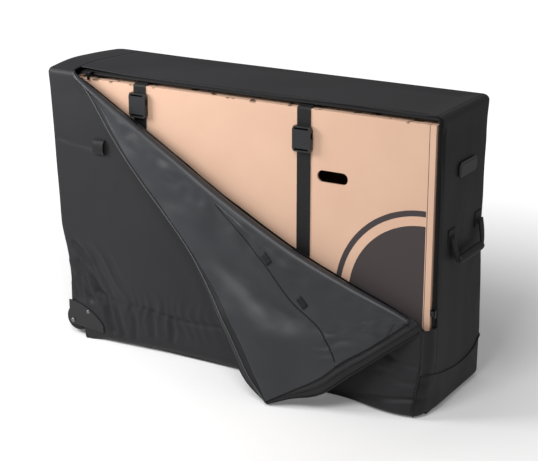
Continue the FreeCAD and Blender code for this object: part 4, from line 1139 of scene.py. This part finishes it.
# Rows of zip along the middle of the band and the piping on its rim, with their lifts in millimetres
ZIP_ROW_SHARE = 0.5
ZIP_ROW_RADIUS = 1.5 * MM
TOP_ROW_LIFT = -1.0
SIDE_ROW_LIFT = -2.0
RIM_RADIUS = 2 * MM
RIM_LIFT = -14.0
BAND_SHARES = steps(0, 1, 0.01)


def band_line(lining, outer, share, lift):
    """A line along one free edge of the flap, part of the way across its band."""
    spots = [spot_at(lining, t).lerp(spot_at(outer, t), share) for t in BAND_SHARES]
    return [on_flap(*spot, lift * MM) for spot in spots]


def flap_band(name, lining, outer, nodes):
    """The black band along one free edge of the flap."""
    rows = [band_line(lining, outer, share, lift) for share, lift in reversed(BAND_SECTION)]
    obj = skin(name, rows, BAND_THICK, finish("bag_fabric"), finish("bag_fabric"))
    return hang(obj, nodes)


# Pocket on the flap's face: its open mouth, and the tabs that close it
POCKET_MOUTH = (
    (575, 58), (615, 68), (672, 80), (742, 100), (780, 110),
    (897, 150), (938, 156), (997, 162), (1056, 190), (1092, 213))
POCKET_REACH = 70 * MM
POCKET_THICK = 0.9 * MM
POCKET_MARGIN = 1 * MM
POCKET_SEAM = 3 * MM
HEM_RADIUS = 1.5 * MM
POCKET_LIFT = 1.4 * MM
POCKET_SUNK = -1.0 * MM
POCKET_SINK = (0.4, 1.0)
TAB_SPOTS = ((774, 103), (920, 142))
TAB_SIZE = (33 * MM, 17 * MM)
TAB_ALONG = Vector((0.95, 0.31))
TAB_THICK = 1.8 * MM
TAB_LIFT = 3 * MM
TAB_CELL = (5 * MM, 4 * MM)


def flap_pocket():
    """A flat pocket sewn to the flap by the fold, open along its lower edge."""
    columns = []
    mouth_end = POCKET_MOUTH[-1][0] * MM
    places = steps(POCKET_MOUTH[0][0] * MM, mouth_end + POCKET_REACH, settings().cell)
    for along in places:
        mouth = lining_edge(along) - POCKET_MARGIN
        if along < mouth_end:
            mouth = smooth_at(POCKET_MOUTH, along / MM) * MM
        seam = min(flap_start(along)[0] + POCKET_SEAM, mouth - POCKET_SEAM)
        columns.append([
            on_flap(along, mix(mouth, seam, share), mix(POCKET_LIFT, POCKET_SUNK, ease(share, *POCKET_SINK)))
            for share in steps(0, 1, 0.05)])
    rows = [list(row) for row in zip(*columns)]
    obj = skin("flap_pocket_sheet", rows, POCKET_THICK, finish("lining"), finish("lining"))
    mouth_line = [point for along, point in zip(places, rows[0]) if along < mouth_end]
    # Black hem along the mouth: a real bound edge whose black also paints the shade inside the open mouth
    hang(bead("flap_pocket_hem_and_shade", mouth_line, HEM_RADIUS, "webbing"), [])
    return hang(obj, ["flap_pocket"])


def pocket_tab(name, spot, nodes):
    """A small tab of webbing on the fold side of the pocket's mouth."""
    width, length = TAB_SIZE
    upward = Vector((TAB_ALONG.y, -TAB_ALONG.x))
    centre = Vector(spot) * MM
    rows = []
    for rise in steps(0, length, TAB_CELL[1]):
        runs = steps(-width / 2, width / 2, TAB_CELL[0])
        line = [centre + TAB_ALONG * run + upward * rise for run in runs]
        rows.append([on_flap(*place_on, POCKET_LIFT + TAB_LIFT) for place_on in line])
    obj = skin(name, rows, TAB_THICK, finish("webbing"), finish("webbing"))
    return hang(obj, nodes)


# Opening of the bag: the edge that the zip runs along, from the fold's start round to its end
def opening_edge():
    """Points of the opening's edge in the X-Z plane with their inward directions."""
    radius = settings().top_radius
    points = [(x, HEIGHT, Vector((0, 0, -1))) for x in steps(FOLD_ORIGIN.x, RIGHT - radius, settings().cell)]
    for turn in ROLL_TURNS[1:]:
        right, up = math.sin(turn), math.cos(turn)
        points.append((RIGHT - radius * (1 - right), HEIGHT - radius * (1 - up), Vector((-right, 0, -up))))
    low = fold_height(RIGHT)
    heights = steps(low, HEIGHT - radius, settings().cell)
    points += [(RIGHT, height, Vector((-1, 0, 0))) for height in reversed(heights)]
    return points


# Section of the zip tape, as (distance in front of the opening's edge, depth below it)
TAPE_SECTION = ((-14 * MM, 0.5 * MM), (-6 * MM, 3 * MM), (2 * MM, 4 * MM), (6 * MM, 5 * MM), (9 * MM, 8 * MM))
TAPE_THICK = 1.2 * MM
TEETH_RADIUS = 2.2 * MM
# Z of the inward direction at which the tape along the top ends and the tape down the end starts
TAPE_SPLIT = -0.8


def zip_tapes():
    """The tape and teeth along the opening, split where the top turns down the end."""
    edge = opening_edge()
    corner = next(index for index, spot in enumerate(edge) if spot[2].z > TAPE_SPLIT)
    for name, part, node in (
            ("zip_tape_along_top", edge[:corner + 1], "zip_tape_top"),
            ("zip_tape_down_end", edge[corner:], "zip_tape_side")):
        rows = [
            [Vector((x, ZIP_LINE - ahead, z)) + inward * depth for x, z, inward in part]
            for ahead, depth in reversed(TAPE_SECTION)]
        tape = skin(name, rows, TAPE_THICK, finish("zip_tape"), finish("zip_tape"))
        place(tape, [node])
        place(bead(f"{name}_teeth", rows[0], TEETH_RADIUS, "zip_tape"), [])


# Webbing
STRAP_WIDTH = 40 * MM
STRAP_THICK = 2.2 * MM
STRAP_CELL = 40 * MM
# How much of a strap is sewn flat under the top
STRAP_SEWN = 25 * MM
# How a strap bends over the carton, as millimetres behind its face and above its top, and outward (Y, Z)
STRAP_BEND = (
    (8, 3, (-0.5, 0.87)),
    (2, 1.5, (-0.7, 0.7)),
    (0, -3, (-1, 0)),
    (0, -20, (-1, 0)),
)


def strap(side):
    """One strap: sewn under the top, over the carton's edge to the buckle, and on down to the base."""
    upper_low, upper_high = (Vector(corner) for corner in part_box(f"strap_upper_{side}"))
    lower_low, lower_high = (Vector(corner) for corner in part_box(f"strap_lower_{side}"))
    middle = (upper_low.x + upper_high.x) / 2
    face = lower_low.y + STRAP_THICK / 2
    sewn = upper_high.z - STRAP_THICK / 2
    across = Vector((1, 0, 0))
    path = [
        (Vector((middle, upper_high.y, sewn)), Vector((0, 0, 1))),
        (Vector((middle, upper_high.y - STRAP_SEWN, sewn)), Vector((0, -0.1, 1))),
    ]
    for behind, above, outward in STRAP_BEND:
        path.append((Vector((middle, face + behind * MM, CARTON_TOP + above * MM)), Vector((0, *outward))))
    path.append((Vector((middle, face, upper_low.z)), OUT))
    obj = strip(f"strap_over_edge_{side}", path, across, STRAP_WIDTH, STRAP_THICK, finish("webbing"))
    place(obj, [f"strap_upper_{side}"])
    path = [(Vector((middle, face, z)), OUT) for z in steps(lower_low.z, lower_high.z, STRAP_CELL)]
    obj = strip(f"strap_down_front_{side}", path, across, STRAP_WIDTH, STRAP_THICK, finish("webbing"))
    place(obj, [f"strap_lower_{side}"])


# How squarely the front loop stands off: 1 is round and less is squarer
LOOP_ROUNDNESS = 0.7


def front_loop():
    """A short loop of webbing that stands off the front."""
    low, high = (Vector(corner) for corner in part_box("front_loop"))
    middle = (low.x + high.x) / 2
    path = []
    for angle in range(0, 181, 15):
        turn = math.radians(angle)
        y = mix(high.y, low.y, math.sin(turn) ** LOOP_ROUNDNESS)
        z = mix(low.z, high.z, 0.5 + 0.5 * math.cos(turn))
        path.append((Vector((middle, y, z)), Vector((0, -math.sin(turn), math.cos(turn)))))
    obj = strip("front_loop_webbing", path, Vector((1, 0, 0)), high.x - low.x, STRAP_THICK, finish("webbing"))
    place(obj, ["front_loop"])


# End handle: its grip, the swing point of its legs, the way they hang and their outline across
HANDLE_JOINT = joint_named("end_handle_swing")
HANDLE_PIVOT = Vector(HANDLE_JOINT["pos_m"])
GRIP_LOW, GRIP_HIGH = (Vector(corner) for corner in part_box("handle_grip"))
GRIP_CENTRE = (GRIP_LOW + GRIP_HIGH) / 2
GRIP_LENGTH = GRIP_HIGH.y - GRIP_LOW.y
HANDLE_HANG = GRIP_CENTRE - HANDLE_PIVOT
LEG_INNER = 76 * MM
LEG_OUTER = 104 * MM
LEG_THICK = 3.4 * MM
LEG_HALF_WIDTH = 10 * MM
PATCH_LIFT = 2.2 * MM
PATCH_CELL = 5 * MM
# How far the legs run into the grip, how it thins towards its ends and rounds off there, and its padding
GRIP_SEWN = 4 * MM
GRIP_TAPER = 0.12
GRIP_ROUNDING = 0.35
GRIP_ROUNDING_POWER = 16


def handle_leg(name, sign, nodes):
    """One webbing leg of the end handle, from its patch to the grip."""
    grip_half = GRIP_LENGTH / 2 - GRIP_SEWN
    hanging, drop = HANDLE_HANG.normalized(), HANDLE_HANG.length
    rows = []
    for share in steps(0, 1, 0.1):
        bend = math.pi / 2 * share
        inner = Vector((mix(grip_half, LEG_INNER, math.cos(bend)), (drop - LEG_HALF_WIDTH) * math.sin(bend)))
        outer = Vector((mix(grip_half, LEG_OUTER, math.cos(bend)), (drop + LEG_HALF_WIDTH) * math.sin(bend)))
        line = [inner.lerp(outer, across) for across in steps(0, 1, 0.25)]
        rows.append([HANDLE_PIVOT + Vector((0, sign * spot.x, 0)) + hanging * spot.y for spot in line])
    if sign > 0:
        rows.reverse()
    obj = skin(name, rows, LEG_THICK, finish("webbing"), finish("webbing"))
    place(obj, nodes, "end_handle")


def padded_grip():
    """The handle's grip: a rubber sleeve round padding, fullest in the middle."""
    radius = (GRIP_HIGH.x - GRIP_LOW.x) / 2
    turns = [math.radians(angle) for angle in range(0, 360, 15)]
    ring = len(turns)
    vertices, faces = [], []
    for share in steps(-1, 1, 0.05):
        rounding = 1 - GRIP_ROUNDING * share ** GRIP_ROUNDING_POWER
        girth = radius * (1 - GRIP_TAPER * share ** 2) * rounding
        middle = GRIP_CENTRE + Vector((0, share * GRIP_LENGTH / 2, 0))
        vertices += [middle + Vector((math.cos(turn), 0, math.sin(turn))) * girth for turn in turns]
    for start in range(0, len(vertices) - ring, ring):
        for index in range(ring):
            after = (index + 1) % ring
            faces.append((start + index, start + after, start + ring + after, start + ring + index))
    faces.append(tuple(reversed(range(ring))))
    faces.append(tuple(range(len(vertices) - ring, len(vertices))))
    obj = new_object("handle_padded_grip", vertices, faces, [finish("grip")], [0] * len(faces))
    place(obj, ["handle_grip"], "end_handle")


def wall_patch(name, y_range, z_range, nodes):
    """A patch sewn flat on the right end's cloth."""
    first = side_start(1) - FRONT - corner_radius(1)
    rows = []
    for height in steps(*z_range, PATCH_CELL):
        line = [wall_point(first + y, height) for y in steps(*y_range, PATCH_CELL)]
        rows.append([point + Vector((PATCH_LIFT, 0, 0)) for point in line])
    obj = skin(name, rows, PATCH_LIFT, finish("webbing"), finish("webbing"))
    place(obj, nodes)


def end_handle():
    """The end handle's grip, its legs and the patches they hang from."""
    padded_grip()
    handle_leg("handle_leg_near", -1, ["handle_webbing"])
    handle_leg("handle_leg_far", 1, [])
    low, high = (Vector(corner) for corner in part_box("handle_patches"))
    width = 2 * (HANDLE_PIVOT.y - (LEG_INNER + LEG_OUTER) / 2 - low.y)
    wall_patch("handle_patch_near", (low.y, low.y + width), (low.z, high.z), ["handle_patches"])
    wall_patch("handle_patch_far", (high.y - width, high.y), (low.z, high.z), [])


# Camera, worked out from the case's edges in the photograph: turn and rise in radians, lens in millimetres
CAMERA_TURN = 0.537
CAMERA_RISE = 0.316
CAMERA_AIM = Vector((0, 0, 400 * MM))
CAMERA_SHIFT = (16.85 * MM, -29.15 * MM)
CAMERA_DISTANCE = 4140.4 * MM
CAMERA_LENS = 98.5
SENSOR_WIDTH = 36
# Lamps as name, place in metres, size in metres and power in watts
LAMPS = (
    ("left_lamp", (-1.35, -1.1, 1.3), 0.8, 27),
    ("upper_lamp", (0.4, -1.9, 2.5), 1.2, 40),
)
LAMP_TARGET = (0, 0, 0.4)
WORLD_LIGHT = 0.26
# How much lighter the floor shows to the camera, near the case and far from it, and the distances between
FLOOR_GLOW = (0.12, 0.8)
FLOOR_GLOW_REACH = (0.7, 2.2)
FLOOR_REACH = 30.0
FLOOR_DROP = 0.5 * MM


def make_camera():
    """The camera at the photograph's view."""
    back = Vector((math.sin(CAMERA_TURN) * math.cos(CAMERA_RISE),
                   -math.cos(CAMERA_TURN) * math.cos(CAMERA_RISE), math.sin(CAMERA_RISE)))
    right = Vector((math.cos(CAMERA_TURN), math.sin(CAMERA_TURN), 0))
    up = back.cross(right)
    place_at = CAMERA_AIM + right * CAMERA_SHIFT[0] + up * CAMERA_SHIFT[1] + back * CAMERA_DISTANCE
    data = bpy.data.cameras.new("camera")
    data.lens = CAMERA_LENS
    data.sensor_width = SENSOR_WIDTH
    data.sensor_fit = "HORIZONTAL"
    camera = bpy.data.objects.new("camera", data)
    axes = Matrix((right, up, back)).transposed().to_4x4()
    camera.matrix_world = Matrix.Translation(place_at) @ axes
    bpy.context.scene.collection.objects.link(camera)
    bpy.context.scene.camera = camera


def area_light(name, place_at, target, size, power):
    """A soft square lamp that faces a target."""
    data = bpy.data.lights.new(name, "AREA")
    data.size = size
    data.energy = power
    lamp = bpy.data.objects.new(name, data)
    lamp.location = place_at
    lamp.rotation_euler = (Vector(target) - Vector(place_at)).to_track_quat("-Z", "Y").to_euler()
    bpy.context.scene.collection.objects.link(lamp)


def white_floor():
    """A matt white floor that shows a little lighter to the camera than it lights the case."""
    name = "matt_white_floor"
    tree, shader, where = start_material(name, linear("#f4f4f4"))
    away = add_node(tree, "ShaderNodeVectorMath", "Value", {0: where}, operation="LENGTH")
    amount = add_node(tree, MAP_RANGE, "Result", {
        "Value": away,
        "From Min": FLOOR_GLOW_REACH[0],
        "From Max": FLOOR_GLOW_REACH[1],
        "To Min": FLOOR_GLOW[0],
        "To Max": FLOOR_GLOW[1],
    })
    seen = add_node(tree, "ShaderNodeLightPath", "Is Camera Ray", {})
    set_inputs(tree, shader, {
        "Roughness": 0.9,
        "Specular IOR Level": 0.0,
        "Emission Color": linear("#ffffff"),
        "Emission Strength": add_node(tree, MATH, 0, {0: seen, 1: amount}, operation="MULTIPLY"),
    })
    return bpy.data.materials[name]


def make_stage():
    """A plain pale floor, soft lamps and a surround that shows white and lights less than it shows."""
    corners = [(across * FLOOR_REACH, depth * FLOOR_REACH, 0) for across, depth in PLAN_SIGNS]
    floor = new_object("floor", corners, [(0, 1, 2, 3)], [white_floor()], [0])
    floor.location.z = -FLOOR_DROP
    world = bpy.data.worlds.new("white_surround")
    world.use_nodes = True
    tree = world.node_tree
    seen = add_node(tree, "ShaderNodeLightPath", "Is Camera Ray", {})
    strength = add_node(tree, MAP_RANGE, "Result", {"Value": seen, "To Min": WORLD_LIGHT})
    set_inputs(tree, tree.nodes["Background"], {"Color": linear("#ffffff"), "Strength": strength})
    bpy.context.scene.world = world
    bpy.context.scene.view_settings.view_transform = "Standard"
    for name, place_at, size, power in LAMPS:
        area_light(name, place_at, LAMP_TARGET, size, power)


# Operators
class CASE_OT_materials(bpy.types.Operator):
    """Makes the finishes and puts them on the CAD pieces"""

    bl_idname = "case.materials"
    bl_label = "Make finishes"

    def execute(self, context):
        make_materials()
        for part in frame["record"]["subparts"]:
            mesh = frame["nodes"][part["node"]].data
            mesh.materials.clear()
            mesh.materials.append(finish(part["material_slot"]))
        return {"FINISHED"}


class CASE_OT_bag(bpy.types.Operator):
    """Makes the bag's walls, top and base"""

    bl_idname = "case.bag"
    bl_label = "Make the bag"

    def execute(self, context):
        zip_turn = side_start(1) + (ZIP_LINE - FRONT - corner_radius(1))
        front_end = side_length(0) + BOOT_WRAP * corner_arc(1)
        front = (-corner_arc(0) / 2, front_end)
        back = (side_end(1), side_end(2))
        left_end = (side_end(2), side_end(3))
        right_end = (zip_turn, side_end(1))
        zipped_corner = (front_end, zip_turn)
        boot = (front_end, side_end(1))
        cloth = "bag_fabric"
        wall("bag_front", front, beside_wheel, fold_crest, cloth, ["front_panel"])
        wall("bag_back", back, beside_wheel, to_top, cloth, ["back_panel"])
        wall("bag_left_end", left_end, above_wells, to_top, cloth, ["left_end_panel"])
        wall("bag_right_end", right_end, boot_edge, to_top, cloth, ["right_end_panel"])
        wall("bag_zipped_corner", zipped_corner, boot_edge, zipped_crest, cloth, ["front_gusset_side"])
        wall("bag_boot", boot, to_floor, boot_edge, "boot_fabric", ["right_end_boot"])
        boot_piping(*boot)
        depth = (FRONT, BACK)
        between_wells = (-WELL_LOW.y, WELL_LOW.y)
        cap("bag_top", (FOLD_ORIGIN.x, RIGHT), (ZIP_LINE, BACK), HEIGHT, cloth, ["top_panel"], True)
        cap("bag_top_left", (LEFT, FOLD_ORIGIN.x), depth, HEIGHT, cloth, ["front_gusset_top"], True)
        cap("bag_base", (WELL_HIGH.x, RIGHT), depth, BASE_LIFT, cloth, ["base_panel"], False)
        cap("bag_base_between_wheels", (LEFT, WELL_HIGH.x), between_wells, BASE_LIFT, cloth, [], False)
        return {"FINISHED"}


class CASE_OT_zip(bpy.types.Operator):
    """Makes the zip's tapes along the opening"""

    bl_idname = "case.zip"
    bl_label = "Make the zip"

    def execute(self, context):
        zip_tapes()
        return {"FINISHED"}


class CASE_OT_flap(bpy.types.Operator):
    """Makes the flap that hangs from the fold"""

    bl_idname = "case.flap"
    bl_label = "Make the flap"

    def execute(self, context):
        cloth = flap_cloth()
        along_top = (LINING_TOP, OUTER_TOP)
        along_side = (LINING_SIDE, OUTER_SIDE)
        top = flap_band("flap_band_top", *along_top, ["flap_gusset_top"])
        side = flap_band("flap_band_side", *along_side, ["flap_gusset_side"])
        row = band_line(*along_top, ZIP_ROW_SHARE, TOP_ROW_LIFT)
        zip_row = hang(bead("flap_zip_row", row, ZIP_ROW_RADIUS, "zip_teeth"), ["flap_zip"])
        row = band_line(*along_side, ZIP_ROW_SHARE, SIDE_ROW_LIFT)
        side_row = hang(bead("flap_zip_row_side", row, ZIP_ROW_RADIUS, "zip_tape"), [])
        rim = band_line(*along_top, 1.0, RIM_LIFT) + band_line(*along_side, 1.0, RIM_LIFT)
        cord = hang(bead("flap_rim_piping", rim, RIM_RADIUS, "bag_fabric"), [])
        pocket = flap_pocket()
        tabs = [pocket_tab("flap_pocket_tab_left", TAB_SPOTS[0], ["pocket_tabs"]),
                pocket_tab("flap_pocket_tab_right", TAB_SPOTS[1], [])]
        return {"FINISHED"}


class CASE_OT_straps(bpy.types.Operator):
    """Makes the straps round the carton and the loop on the front"""

    bl_idname = "case.straps"
    bl_label = "Make the straps"

    def execute(self, context):
        for side in ("left", "right"):
            strap(side)
        front_loop()
        return {"FINISHED"}


class CASE_OT_handle(bpy.types.Operator):
    """Makes the end handle"""

    bl_idname = "case.handle"
    bl_label = "Make the handle"

    def execute(self, context):
        end_handle()
        return {"FINISHED"}


class CASE_OT_stage(bpy.types.Operator):
    """Makes the floor, the lamps and the camera"""

    bl_idname = "case.stage"
    bl_label = "Make the stage"

    def execute(self, context):
        make_stage()
        make_camera()
        return {"FINISHED"}


class CASE_PT_panel(bpy.types.Panel):
    """Sidebar panel with the settings and the steps"""

    bl_idname = "CASE_PT_panel"
    bl_label = "Travel case"
    bl_space_type = "VIEW_3D"
    bl_region_type = "UI"
    bl_category = "Travel case"

    def draw(self, context):
        for name in TravelCaseSettings.__annotations__:
            self.layout.prop(context.scene.travel_case, name)
        for operator in OPERATORS:
            self.layout.operator(operator.bl_idname)


OPERATORS = (
    CASE_OT_materials,
    CASE_OT_bag,
    CASE_OT_zip,
    CASE_OT_flap,
    CASE_OT_straps,
    CASE_OT_handle,
    CASE_OT_stage,
)
CLASSES = (TravelCaseSettings, *OPERATORS, CASE_PT_panel)


def register():
    """Adds the settings, the operators and the panel."""
    for item in CLASSES:
        bpy.utils.register_class(item)
    bpy.types.Scene.travel_case = bpy.props.PointerProperty(type=TravelCaseSettings)


def unregister():
    """Takes away what register added."""
    del bpy.types.Scene.travel_case
    for item in reversed(CLASSES):
        bpy.utils.unregister_class(item)


def main():
    """Dresses the frame."""
    register()
    bpy.ops.case.materials()
    bpy.ops.case.bag()
    bpy.ops.case.zip()
    bpy.ops.case.flap()
    bpy.ops.case.straps()
    bpy.ops.case.handle()
    bpy.ops.case.stage()


if __name__ == "__main__":
    main()
